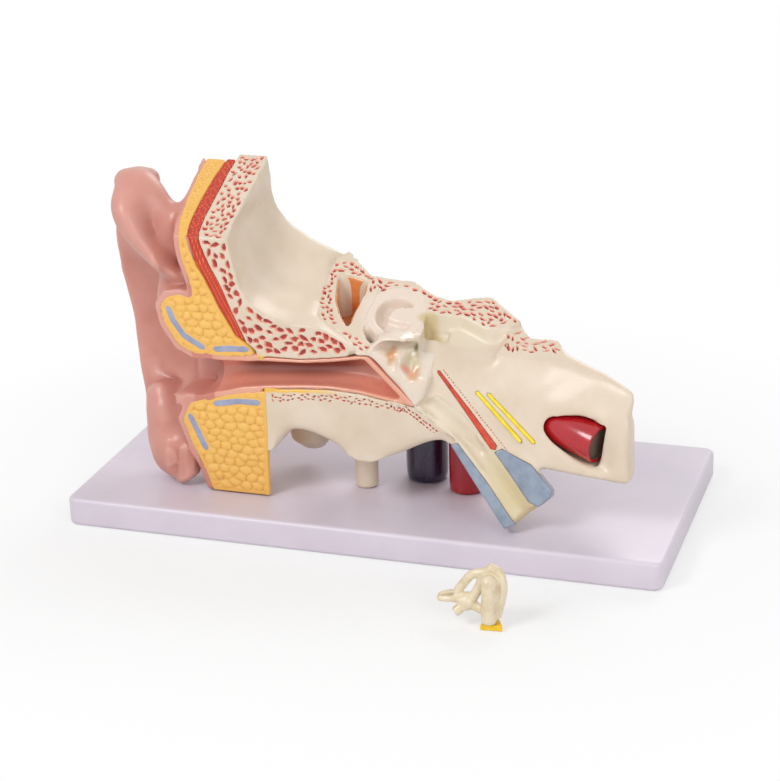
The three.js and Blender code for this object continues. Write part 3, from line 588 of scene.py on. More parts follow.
def scatter(piece, cut, where, length, width, spread, margin, seed, along_rim=True):
    """Places for marrow marks on a cut face, with the way each one lies."""
    rng = np.random.default_rng(seed)
    on = facing(piece, cut)
    gap, way = margins(piece, on)
    places = corners(piece)
    picked = np.flatnonzero(on & (gap > margin))
    picked = picked[where(places[picked])]
    rng.shuffle(picked)
    level, rise = in_face(cut)
    chosen = []
    spots = np.empty((0, 2))
    for i in picked:
        side = way[i] / max(gap[i], 1e-6)
        lie = np.array((side @ rise, -side @ level)) if along_rim else np.array((0.0, 1.0))
        turn = rng.normal(0, 0.35)
        lie = np.array((lie[0] * math.cos(turn) - lie[1] * math.sin(turn),
                        lie[0] * math.sin(turn) + lie[1] * math.cos(turn)))
        spot = np.array((places[i] @ level, places[i] @ rise))
        if len(spots):
            apart = spots - spot
            a = apart @ lie
            b = apart @ np.array((-lie[1], lie[0]))
            if ((a / spread[0]) ** 2 + (b / spread[1]) ** 2 < 1).any():
                continue
        spots = np.vstack((spots, spot))
        size = rng.uniform(0.75, 1.2, 2) * (length, width)
        chosen.append((places[i], lie[0] * level + lie[1] * rise, cut[0], size))
    return chosen


def pits(name, chosen, deep, seed, sides=9):
    """Tapered tools that cut the marrow marks: each has a sloping wall and a floor of its own colour."""
    rng = np.random.default_rng(seed)
    points = []
    faces = []
    floors = []
    for middle, lie, out, (length, width) in chosen:
        across = np.cross(out, lie)
        turns = (np.arange(sides) + rng.uniform(-0.3, 0.3, sides)) * 2 * math.pi / sides
        wobble = rng.uniform(0.72, 1.2, sides)
        first = len(points)
        for share, depth in ((1.3, 0.6), (0.8, -deep)):
            for turn, wide in zip(turns, wobble):
                reach = lie * math.cos(turn) * length / 2 + across * math.sin(turn) * width / 2
                points.append(middle + out * depth + share * wide * reach)
        for i in range(sides):
            j = (i + 1) % sides
            faces.append((first + i, first + sides + i, first + sides + j, first + j))
            floors.append(1)
        faces.append(tuple(first + i for i in range(sides)))
        floors.append(1)
        faces.append(tuple(first + sides + i for i in reversed(range(sides))))
        floors.append(2)
    mesh = bpy.data.meshes.new(name)
    mesh.from_pydata([tuple(p * MM) for p in points], [], faces)
    mesh.polygons.foreach_set("material_index", floors)
    tool = bpy.data.objects.new(name, mesh)
    bpy.context.collection.objects.link(tool)
    face_out(tool)
    return tool


def row(piece, points, apart, length, width, out, seed, stray=0.25):
    """Marks in a row along a line of points, each on the nearest place of the surface."""
    rng = np.random.default_rng(seed)
    points = np.array(points, float)
    runs = np.linalg.norm(np.diff(points, axis=0), axis=1)
    stations = np.arange(apart / 2, runs.sum(), apart)
    spots = np.stack([np.interp(stations, np.r_[0, np.cumsum(runs)], points[:, k]) for k in range(3)], 1)
    spots += rng.uniform(-stray, stray, spots.shape)
    places = corners(piece)
    _, which = near(spots, places)
    found = []
    for spot, i in zip(spots, which):
        lie = points[-1] - points[0]
        lie = lie - out * (lie @ out)
        lie /= np.linalg.norm(lie)
        size = rng.uniform(0.75, 1.2, 2) * (length, width)
        found.append((spot + out * ((places[i] - spot) @ out), lie, out, size))
    return found


# Pieces that are one casting of bone, and the pieces let into it
BONES = ["temporal_squama", "tegmen_wall", "otic_capsule", "petrous_bone", "tympanic_bone",
         "mastoid_process", "tympanic_cavity", "eustachian_tube"]
INLAYS = ["tensor_tympani", "petrosal_nerve_lesser", "petrosal_nerve_greater",
          "tube_cartilage_lateral", "tube_cartilage_medial"]

# Patches of marrow marks on the petrous cut and its step, as x and y
LAMELLA = [
    (-40, -1), (-33, -21), (-28, -40), (-14, -48), (4, -47), (-4, -42), (-19, -38), (-25.5, -27),
    (-31, -11), (-30, 0)]
BACK_MARKS = [
    (-33, 4), (-24, 7), (-11, 3), (3.5, -1), (17, -5), (37, -6), (51, -2), (63, 0), (78, -9),
    (77, -24), (62, -22), (47, -16), (36, -17), (27, -20), (26, -8), (16, -4), (7, -3), (-1, -8),
    (-7, -10), (-24, -8)]
SECOND_PATCH = [
    (58, -24), (66, -19), (80, -15.5), (94, -15), (104, -17), (110, -22), (94, -26), (80, -28.5),
    (66, -26.5)]
MARKED_STEP = [
    (50, -36), (72, -17), (84, -8), (100, -14), (118, -26), (112, -31), (92, -32), (70, -33)]
# The lower step of the pyramid, as x and y
STEP_EDGE = [
    (27, -62), (54, -62), (66, -62), (112, -62), (152, -62), (152, 22), (112, 22), (86, 22),
    (84, 0), (79, -11.5), (72, -17), (61.7, -21.5), (45.6, -16), (27, -18.5)]
# The room that each bone piece takes of the whole mass. In plan, as x and y
TEGMEN_CELL = [
    (-3, -51), (-14.2, -42.2), (-31.3, -34.1), (-33.8, -15), (-34.8, 4.1), (-28, 14.4),
    (-10.2, 0.8), (-4.2, -3.9), (-4.2, -16), (-6.2, -26), (-3.8, -36.2), (3.2, -45), (2.3, -51)]
# The capsule is round: its middle and radius
CAPSULE_MIDDLE = (10, -21)
CAPSULE_RADIUS = 16.65
CAPSULE_SIDES = 48
CAPSULE_CELL = [(CAPSULE_MIDDLE[0] + CAPSULE_RADIUS * math.cos(t * math.pi / 24),
                 CAPSULE_MIDDLE[1] + CAPSULE_RADIUS * math.sin(t * math.pi / 24))
                for t in range(CAPSULE_SIDES)]
SQUAMA_CELL = [(-120, -60), (-2, -60), (-2, 40), (-120, 40)]
MASTOID_CELL = [(-120, -60), (-20, -60), (-20, 40), (-120, 40)]
# The same seen from the front, as x and z
CAVITY_CELL = [
    (0.8, 108.6), (8.9, 116.8), (20.4, 117.9), (29.6, 113.3), (35.3, 104.3), (36.4, 93.2),
    (33, 84.2), (27.4, 78.6)]
TYMPANIC_CELL = [
    (-58, 0), (47.2, 0), (47.2, 62), (24.6, 78.4), (21, 80.65), (12, 82), (-3, 84.5), (-20, 85.4),
    (-36, 84.4), (-58, 82.4)]
# The same on the face of the tube, as down and across
TUBE_CELL = [
    (1.8, 0.4), (30.6, 8.1), (55.5, 7.8), (84, 5.6), (83.6, 20.6), (78.4, 18.4), (60, 19.8),
    (46.4, 20.4), (20, 19.7), (3.9, 15.1)]
TUBE_FRAME = (TUBE_ORIGIN, TUBE_DOWN, TUBE_ACROSS, TUBE_OUT)
# What fills the bone out before it is cut: in the middle ear, at the apex and under the canal, as x and z
CAVITY_FILL = [
    (2, 108.4), (9.5, 115.5), (20.2, 116.6), (28.8, 112.3), (34.2, 103.9), (35.3, 93.4),
    (32, 84.8), (27, 80)]
APEX_FILL = [(128, 51), (146, 47), (146, 80), (128, 82)]
CANAL_FOOT = [(-58.5, 44), (-54, 50), (-52, 83), (-58.5, 83)]
# The same in the capsule and in the antrum, as x and y
CAPSULE_FILL = [
    (6, -34.5), (14, -37), (23, -34), (26.5, -25), (24, -17), (16, -15), (5.5, -21.5), (4.5, -28)]
ANTRUM_FILL = [
    (-29.6, -2.6), (-26.4, -0.7), (-12, -2.6), (-10.4, -10), (-12.7, -28), (-12.3, -35.8),
    (-14.4, -35.4), (-20.5, -28.3), (-25.9, -19.5)]
# The same where the styloid stub flares into the bone, as radius and height
STYLOID_FLARE = [
    (0, 16.8), (6.2, 16.8), (6.5, 17.4), (6.6, 30), (7.4, 38), (9.4, 44), (13, 49), (18, 56),
    (18, 66), (0, 66)]
# The bone that the ear canal lies on and the bone over its roof, as x and z
CANAL_BED = [(-57, 79), (12, 79), (12, 80.9), (-3, 83.4), (-20, 84.3), (-36, 83.3), (-57, 81.4)]
CANAL_ROOF = [
    (-62, 99.3), (-56, 100), (-36, 100.5), (-20, 102.5), (-8, 104.6), (-8, 108), (-36, 104.5),
    (-62, 103.5)]
# Recesses of the middle ear, as the middle of a round form and its radii
CAVITY_RECESSES = [((26.2, -50, 105.5), (5.5, 9.5, 12)), ((12.8, -44, 110), (2.6, 4, 4.5)),
                   ((16.2, -50, 104), (2.5, 4.5, 6))]
# The window in the apex that shows the artery, the artery in it, the two stubs on the board and the
# holes for screws, as radius and distance along
APEX_WINDOW = [
    (0, -4), (9, -4), (11, -2), (11, 31), (12.2, 32.5), (12.2, 37.5), (11.2, 38.6), (0, 38.6)]
APEX_PROFILE = [
    (0, 0.4), (8, 0.4), (10.2, 1.0), (10.75, 2.2), (10.75, 34.7), (10.6, 35.4), (10.1, 35.7),
    (9.2, 35.7), (8.8, 35.5), (8.6, 35), (8.6, 33.2), (0, 33)]
ARTERY_PROFILE = [
    (0, 0.3), (8.4, 0.3), (9.4, 0.7), (9.8, 1.6), (10, 4), (10, 42), (9.6, 46), (0, 47.5)]
VEIN_PROFILE = [
    (0, 0.3), (9.6, 0.3), (10.8, 0.8), (11.5, 2), (11.85, 5), (12, 12), (12, 30), (11.6, 36),
    (0, 40)]
SCREW_BORE = [(0, -1), (2.9, -1), (2.9, 9.7), (0, 9.7)]
COUNTERBORE = [(0, -3), (6.3, -3), (6.3, 5.3), (2.8, 5.3), (2.8, 20), (0, 20)]

# The skin that runs from the auricle over the lower fat pad into the ear canal, as x and z
CANAL_LIP = [
    (-112, 66), (-104, 70.5), (-89, 74.9), (-72, 78.9), (-60, 80.7), (-60, 83), (-72, 81.4),
    (-87, 77.5), (-95, 75), (-104, 75), (-113, 74)]
# Round forms that fill the auricle out, as the middle and the radii: the top of the helix and its run
# down to the head, the web behind it, the lobe, the concha and the flare in front of it
SKIN_FORMS = [
    ((-144, -24, 185), (10.5, 10.5, 10.5)), ((-135, -24, 185), (11.5, 11, 11)),
    ((-129.7, -26, 180.6), (10.5, 10, 10.5)), ((-125, -26, 174), (10.5, 10, 10.5)),
    ((-120.2, -26, 167.2), (10.5, 10, 10.5)), ((-116, -27, 168), (9.5, 9, 9.5)),
    ((-115, -30, 155), (9, 9, 16)), ((-119, -41.5, 33.7), (15, 8.2, 16.4)),
    ((-127, -30, 39), (13.5, 11, 19)), ((-133, -22, 50), (11, 9, 20)),
    ((-97, -20, 84), (14, 9, 20)), ((-92, -25.5, 88), (8, 7, 14)), ((-118, -30, 120), (9, 12, 24))]
# Strokes on the front of the auricle: a line of points, its reach, how far it goes and which way
HELIX_RIDGE = ([(-137, -49, 178), (-128, -48, 162), (-119, -47, 150)], 6, 2.0, (0.25, -0.9, 0.3))
LOBE_DIMPLE = ([(-137, -15, 74), (-131, -17, 69), (-125, -18, 65)], 4, 4.0, (0, 0.95, -0.1))
# Grooves and ridges on the outer side of the auricle: a line as y and z, its reach and how deep it goes
OUTER_RELIEF = [
    ([(-44, 178), (-35, 184), (-15, 183), (3, 174), (13, 158), (17, 138), (13, 110), (6, 85),
      (-3, 64), (-14, 46)],
     4.5, 3.0),
    ([(-47, 189), (-34, 193), (-12, 192), (9, 182), (21, 162), (26, 138), (21, 106), (13, 78),
      (3, 54)],
     4.0, -1.2),
    ([(-42, 158), (-25, 164), (-8, 162), (3, 148), (5, 125), (0, 100), (-8, 80), (-20, 64)],
     6.0, -2.6),
    ([(-40, 172), (-24, 174), (-10, 171)], 4.0, 1.6),
]
# Bands of skin round the two fat pads, as x and z, and along the upper cut, as x and up that cut
LOWER_RIM = [
    (-92, 17.3), (-95.2, 17.3), (-99.4, 29.6), (-106.4, 44.6), (-111.2, 59), (-105, 71.6),
    (-89.5, 76.6), (-72, 80.4), (-60, 82), (-60, 70), (-90, 55)]
UPPER_RIM = [
    (-92, 165.8), (-101.2, 165.8), (-101.6, 150), (-100.2, 140), (-99, 134), (-105.3, 135.8),
    (-114.3, 133.6), (-120.5, 126.3), (-118.5, 114), (-109.9, 100.6), (-98.5, 95.8), (-87, 95.9),
    (-72, 96.6), (-58, 98.3), (-58, 100), (-80, 108), (-92, 120)]
SCALP_RIM = [
    (-101, 0.3), (-104.2, 10), (-106.9, 19), (-110, 32.4), (-111.6, 45.5), (-110, 62), (-106, 62),
    (-107.5, 45.5), (-106, 32.4), (-103, 19), (-98, 0.3)]
# The rooms of the eardrum, as x and z, and of the ear canal, as x and y
DRUM_CELL = [(-20.6, 124.3), (39.5, 64.2), (43.7, 68.3), (-16.4, 128.4)]
CANAL_CELL = [(-88, -60), (40, -60), (40, 0), (-88, 0)]
# Height of the roof of the ear canal along x
CANAL_ROOF_LINE = ([-93, -87, -72, -56, -36, -20, -3, 12],
                   np.array((80.5, 79.5, 80, 81.5, 82, 84, 87, 88)) + 16.5)

# Studio: lamps as a name, a place and a size in metres and a power in watts, and the camera
LAMPS = (("key", (-0.55, -0.85, 1.0), 0.5, 7.6), ("fill", (0.9, -0.9, 0.6), 0.9, 5.0),
         ("rim", (0.2, 0.9, 0.9), 0.7, 5.0))
LAMP_TARGET = (0.0, -0.03, 0.08)
WORLD_LIGHT = 0.52
CAMERA_LENS = 98.35
CAMERA_PLACE = (0.3512, -1.0646, 0.5063)
CAMERA_RIGHT = (0.9521, 0.3046, -0.0275)
CAMERA_UP = (-0.0869, 0.3554, 0.9307)
CAMERA_FORWARD = (-0.2932, 0.8837, -0.3649)


class EarModelSettings(bpy.types.PropertyGroup):
    """Sizes and colours that a user would change."""
    bone_voxel: bpy.props.FloatProperty(
        name="Bone detail", description="Size of the smallest form kept in the bone",
        default=0.9 * MM, unit="LENGTH")
    soft_voxel: bpy.props.FloatProperty(
        name="Soft detail", description="Size of the smallest form in the soft layers",
        default=0.8 * MM, unit="LENGTH")
    lobule_width: bpy.props.FloatProperty(
        name="Lobule width", description="Width of a lobule in the fat",
        default=6.4 * MM, unit="LENGTH")
    lobule_height: bpy.props.FloatProperty(
        name="Lobule height", description="Height of a lobule in the fat",
        default=4.5 * MM, unit="LENGTH")
    lobule_rise: bpy.props.FloatProperty(
        name="Lobule rise", description="How far a lobule stands out",
        default=0.55 * MM, unit="LENGTH")
    mark_length: bpy.props.FloatProperty(
        name="Marrow mark length", description="Length of a marrow mark in the bone",
        default=5.2 * MM, unit="LENGTH")
    mark_width: bpy.props.FloatProperty(
        name="Marrow mark width", description="Width of a marrow mark in the bone",
        default=3.2 * MM, unit="LENGTH")
    mark_depth: bpy.props.FloatProperty(
        name="Marrow mark depth", description="Depth of a marrow mark in the bone",
        default=0.8 * MM, unit="LENGTH")
    bone_colour: bpy.props.FloatVectorProperty(
        name="Bone", description="Main shade of the bone",
        default=linear("#D9C8B3"), size=4, min=0.0, max=1.0, subtype="COLOR")
    skin_colour: bpy.props.FloatVectorProperty(
        name="Skin", description="Main shade of the auricle",
        default=linear("#C58577"), size=4, min=0.0, max=1.0, subtype="COLOR")
    canal_colour: bpy.props.FloatVectorProperty(
        name="Ear canal", description="Main shade of the lining of the ear canal",
        default=linear("#E19986"), size=4, min=0.0, max=1.0, subtype="COLOR")
    fat_colour: bpy.props.FloatVectorProperty(
        name="Fat", description="Shade of the fat between crease and crown",
        default=linear("#EBB658"), size=4, min=0.0, max=1.0, subtype="COLOR")
    muscle_colour: bpy.props.FloatVectorProperty(
        name="Muscle", description="Shade of the muscle between its fibres",
        default=linear("#CC421E"), size=4, min=0.0, max=1.0, subtype="COLOR")
    cartilage_colour: bpy.props.FloatVectorProperty(
        name="Cartilage", description="Main shade of the strips of cartilage",
        default=linear("#969BB4"), size=4, min=0.0, max=1.0, subtype="COLOR")
    artery_colour: bpy.props.FloatVectorProperty(
        name="Artery", description="Main shade of the carotid artery",
        default=linear("#B0081A"), size=4, min=0.0, max=1.0, subtype="COLOR")
    vein_colour: bpy.props.FloatVectorProperty(
        name="Vein", description="Main shade of the jugular vein",
        default=linear("#28203C"), size=4, min=0.0, max=1.0, subtype="COLOR")
    nerve_colour: bpy.props.FloatVectorProperty(
        name="Nerves", description="Main shade of the petrosal nerves",
        default=linear("#F0D71E"), size=4, min=0.0, max=1.0, subtype="COLOR")
    labyrinth_colour: bpy.props.FloatVectorProperty(
        name="Labyrinth", description="Main shade of the labyrinth",
        default=linear("#DECEB0"), size=4, min=0.0, max=1.0, subtype="COLOR")
    board_colour: bpy.props.FloatVectorProperty(
        name="Board", description="Main shade of the baseboard",
        default=linear("#D2C8D4"), size=4, min=0.0, max=1.0, subtype="COLOR")


class EAR_OT_bone(bpy.types.Operator):
    """Bone: scale, wall over the middle ear, capsule, pyramid, bone under the canal and mastoid process"""
    bl_idname = "ear.bone"
    bl_label = "Bone"

    def execute(self, context):
        sizes = context.scene.ear_model
        # Moulded PVC, cream, painted by hand: satin, hardly mottled, with a yellow line of fat at the canal
        # and a yellowish painted shadow in the recess beside the capsule
        bone = moulded("moulded_pvc_bone", ("#D2C0A9", sizes.bone_colour, "#DFD0BD"), 26, 0.4,
                       {"Coat Weight": 0.12}, soft_paint=True,
                       paint=(("canal_layer", "#E6B852"), ("glaze", "#E4D2C4"),
                              ("pale_glaze", "#E0D5BD"), ("painted_recess_shadow", "#C6B078")))
        # Paint that ran thin on the slope of each mark: pale orange pink
        slope = moulded("thin_enamel_slope", ("#D88570", "#E09C84", "#E8B49A"), 3, 0.4,
                        {"Coat Weight": 0.2})
        # Dark red enamel in the floor of each mark, brown where it pooled
        floor = moulded("marrow_enamel", ("#8A1A1E", "#A92A26", "#BE5A38"), 5, 0.35,
                        {"Coat Weight": 0.3}, cloud=0.35)
        # Translucent cream PVC with orange, pink and olive glaze, a dark brown painted shadow at the top of
        # the deep recess and a white painted highlight beside it: light goes in a little, and it is glossy
        cream = moulded("glazed_pvc_cavity", ("#DACAB6", "#E0D1C0", "#E5D8CA"), 14, 0.28,
                        {"Coat Weight": 0.35, "Subsurface Weight": 0.15, "Subsurface Scale": 0.004},
                        paint=(("olive_glaze", "#BFAE84"), ("orange_glaze", "#D79C68"),
                               ("pink_glaze", "#DE9078"), ("painted_niche_shadow", "#6E6038"),
                               ("painted_glint", "#F4EEE2")), soft_paint=True)
        # Moulded PVC, cream, a little yellower and glossier than the bone
        tube = moulded("satin_pvc_tube", ("#D6C6AE", "#DBCCB5", "#E0D2BD"), 18, 0.32,
                       {"Coat Weight": 0.3}, paint=(("tube_shade", "#CDBB92"),), soft_paint=True)
        cuts = (FRONT, UPPER, PETROUS, LOWER_STEP, TUBE)
        drops = [np.interp(x, [27, 54, 66, 112, 135], [8, 8, STEP_DOWN, STEP_DOWN, 0])
                 for x, _ in STEP_EDGE]
        lower = above_petrous("step", STEP_EDGE, drops)
        fills = [below_petrous(prism("fill", CAVITY_FILL, -49.6, -34, axis=1), 0.3),
                 below_petrous(prism("fill", CAPSULE_FILL, 100, 140), 3.5),
                 prism("fill", CANAL_FOOT, -49.9, -38, axis=1),
                 turned("fill", STYLOID_FLARE, (*SCREW_PLACES[1], 0), (0, 0, 1), 48),
                 prism("fill", APEX_FILL, -48.6, -34, axis=1),
                 prism("fill", CANAL_BED, -49.9, -37, axis=1),
                 prism("fill", CANAL_ROOF, -49.9, -40, axis=1)]
        recesses = [ball(*recess) for recess in CAVITY_RECESSES]
        mass = refine("bone", [*BONES, *INLAYS, "antrum_lining"], sizes.bone_voxel / MM, cuts,
                      rounds=20, soften=1, grow=0.2, fills=fills, tools=[lower, *recesses])
        lean(mass)
        self.round_off(mass, cuts)
        bed(mass, "temporal_muscle", "upper_fat_pad", "lower_fat_pad", "canal_lining",
            "tympanic_membrane")
        for material in (bone, slope, floor):
            mass.data.materials.append(material)
        room = copy_of("inlay_room", *INLAYS)
        apply(room, "DISPLACE", strength=0.22 * MM, mid_level=0.0)
        tool = pits("marrow_marks", self.marks(mass, sizes), sizes.mark_depth / MM, 1)
        for material in (bone, slope, floor):
            tool.data.materials.append(material)
        carve(mass, tool)
        carve(mass, room)
        carve(mass, turned("window", APEX_WINDOW, APEX_START, APEX_ALONG))
        cells = [
            ("tympanic_cavity", prism("cell", CAVITY_CELL, -60, -33.6, axis=1)),
            ("eustachian_tube", prism("cell", TUBE_CELL, -12.2, 8, frame_of=TUBE_FRAME)),
            ("tegmen_wall", prism("cell", TEGMEN_CELL, 80.65, TOP_OF_ALL)),
            ("otic_capsule", prism("cell", CAPSULE_CELL, 80.65, TOP_OF_ALL)),
            ("temporal_squama", prism("cell", SQUAMA_CELL, 100.35, TOP_OF_ALL)),
            ("tympanic_bone", prism("cell", TYMPANIC_CELL, -60, -12.85, axis=1)),
            ("mastoid_process", prism("cell", MASTOID_CELL, 0, 150)),
        ]
        own = {"tympanic_cavity": ("cavity", cream), "eustachian_tube": ("bone", tube)}
        for name, cell in cells:
            part = twin_of(mass, name + "_cast")
            carve(part, twin_of(cell), "INTERSECT")
            carve(mass, cell)
            slot, first = own.get(name, ("bone", bone))
            part.data.materials[0] = first
            self.dress(part, slot, name)
        mass.name = mass.data.name = "petrous_bone_cast"
        self.dress(mass, "bone", "petrous_bone")
        return {"FINISHED"}

    def round_off(self, mass, cuts):
        """Gives the natural surfaces their soft forms, and sculpts the middle ear."""
        places = corners(mass)
        x, y, z = places.T
        top = facing(mass, PETROUS) | facing(mass, UPPER) | (facing(mass, LOWER_STEP) & (x > 66))
        marks = inside(MARKED_STEP, x, y)
        wall = (y > -24) & (x < 74)
        pyramid = step(x, 34, 44) * step(z, 60, 72) * ~(top & (marks | wall | (x < 30))) * ~wall
        pyramid = pyramid * (x + y < 60)
        pyramid = np.maximum(pyramid, step(x, 60, 74) * ~(top & marks) * (y < -16))
        under = step(73 - z, 0, 7) * step(z, 44, 50) * (x < 46) * (y < -8) * step(x, -57, -49)
        inner = step(x, -70, -60) * (1 - step(x, -6, 2)) * step(z, 98, 106) * ~top * (y > -49)
        melt(mass, np.clip(pyramid + under + inner, 0, 1), 70, cuts)
        x, y, z = corners(mass).T
        melt(mass, step(x, 2, 7) * (1 - step(x, 36, 42)) * step(z, 80, 90) * (y < -34), 26)
        x, y, z = corners(mass).T
        melt(mass, (np.hypot(x - 10, y + 22) < 17.5) * step(z, 96, 100) * step(-y, 24, 28), 12)

    def marks(self, mass, sizes):
        """Places, sizes and directions of all the marrow marks, patch by patch."""
        long = sizes.mark_length / MM
        wide = sizes.mark_width / MM

        def over_canal(p):
            return (p[:, 2] > 101) & (p[:, 0] < -7)

        def under_canal(p):
            line = np.interp(p[:, 0], [-55, -37, -14, 3, 20], [76, 78.5, 80.2, 78.8, 77.6])
            return (abs(p[:, 2] - line) < 1.9) & (p[:, 0] < 24) & (p[:, 0] > -54)

        def within(outline):
            return lambda p: inside(outline, p[:, 0], p[:, 1])

        def at(u, v):
            return TUBE_ORIGIN + u * TUBE_DOWN + v * TUBE_ACROSS

        # Each patch: its cut, where it lies, the length and width of a mark, the room between two marks,
        # the plain rim and the seed of its draws
        marks = []
        for cut, where, size, room, rim, seed in (
                (FRONT, over_canal, (long, wide), (long * 0.9, wide * 1.1), 1.9, 3),
                (FRONT, under_canal, (2.2, 1.1), (2.3, 1.4), 0.8, 5),
                (UPPER, lambda p: p[:, 0] < 0, (3.9, 2.4), (3.8, 2.5), 1.8, 7),
                (PETROUS, within(BACK_MARKS), (4.0, 2.1), (4.0, 2.3), 1.6, 9),
                (LOWER_STEP, within(SECOND_PATCH), (4.2, 1.6), (4.2, 2.1), 1.2, 11),
                (PETROUS, within(LAMELLA), (3.2, 1.9), (3.1, 2.1), 1.2, 13)):
            marks += scatter(mass, cut, where, *size, room, rim, seed)
        for shift, seed in ((0.0, 15), (1.8, 16)):
            marks += row(mass, [at(-2.6, -2.6 - shift), at(27.6, 4.6 - shift)], 2.3, 1.9, 1.0,
                         TUBE_OUT, seed)
        marks += row(mass, [at(-5.8, 26.4), at(50, 26.2)], 1.7, 0.9, 0.6, TUBE_OUT, 17, stray=0.15)
        return marks

    def dress(self, part, slot, name):
        """Marks where the paints of a bone piece lie, and finishes it."""
        x, y, z = corners(part).T
        floor = np.interp(x, [-57, -36, -20, -3, 12], [81.4, 83.3, 84.3, 83.4, 80.9])
        roof = np.interp(x, [-62, -56, -36, -20], [99.3, 100, 100.5, 102.5])
        under = step(z - floor, -2.3, -1.7) * (z < 90) * (1 - step(x, -34, -8))
        taper = (-62 - x) / 12
        over = (1 - step(z - roof, 1.2 + taper, 1.8 + taper)) * (z > 92) * (1 - step(x, -50, -42))
        mark(part, "canal_layer", (under + over) * (y < -49.3) * (x > -63))
        around = np.hypot(x - 10, y + 22)
        yellow = np.hypot((x - 29) / 7, (y + 21) / 4)
        pale = np.hypot((x - 48) / 20, (y + 19) / 9)
        mark(part, "glaze", (1 - step(around, 15, 22)) * (z > 90) * 0.8)
        # Yellowish painted shadow in the recess beside the capsule
        mark(part, "painted_recess_shadow", (1 - step(yellow, 0.6, 1.2)) * (z > 100) * 0.8)
        mark(part, "pale_glaze", (1 - step(pale, 0.6, 1.1)) * (z > 95) * (y < -16) * 0.6)
        if name == "tympanic_cavity":
            def spot(middle, radii):
                away = sum(((v - m) / r) ** 2 for v, m, r in zip((x, y, z), middle, radii))
                return 1 - step(np.sqrt(away), 0.3, 1.2)

            upper = spot((14.5, -46, 107.5), (3.4, 6, 8))
            lower = spot((27, -48, 97), (4, 9, 5)) * 0.75
            mark(part, "olive_glaze", spot((26, -45, 106), (5, 9, 11)) * 0.9)
            mark(part, "orange_glaze", np.maximum(upper, lower) * 0.9)
            mark(part, "pink_glaze", spot((22 + (100 - z) * 0.7, -48, 98.5), (1.8, 6, 5)) * 0.8)
            # Painted shadow, dark brown, at the top of the deep recess, and a painted highlight, white,
            # beside it
            mark(part, "painted_niche_shadow", spot((27, -39, 109.5), (2.6, 3.5, 3)))
            mark(part, "painted_glint", spot((25.4, -41.5, 106), (1.4, 3, 1.6)))
        if name == "eustachian_tube":
            down = (corners(part) - TUBE_ORIGIN) @ TUBE_DOWN
            mark(part, "tube_shade", step(down, 30, 70))
        smooth(part, 50)
        keep(part, slot, None, name)


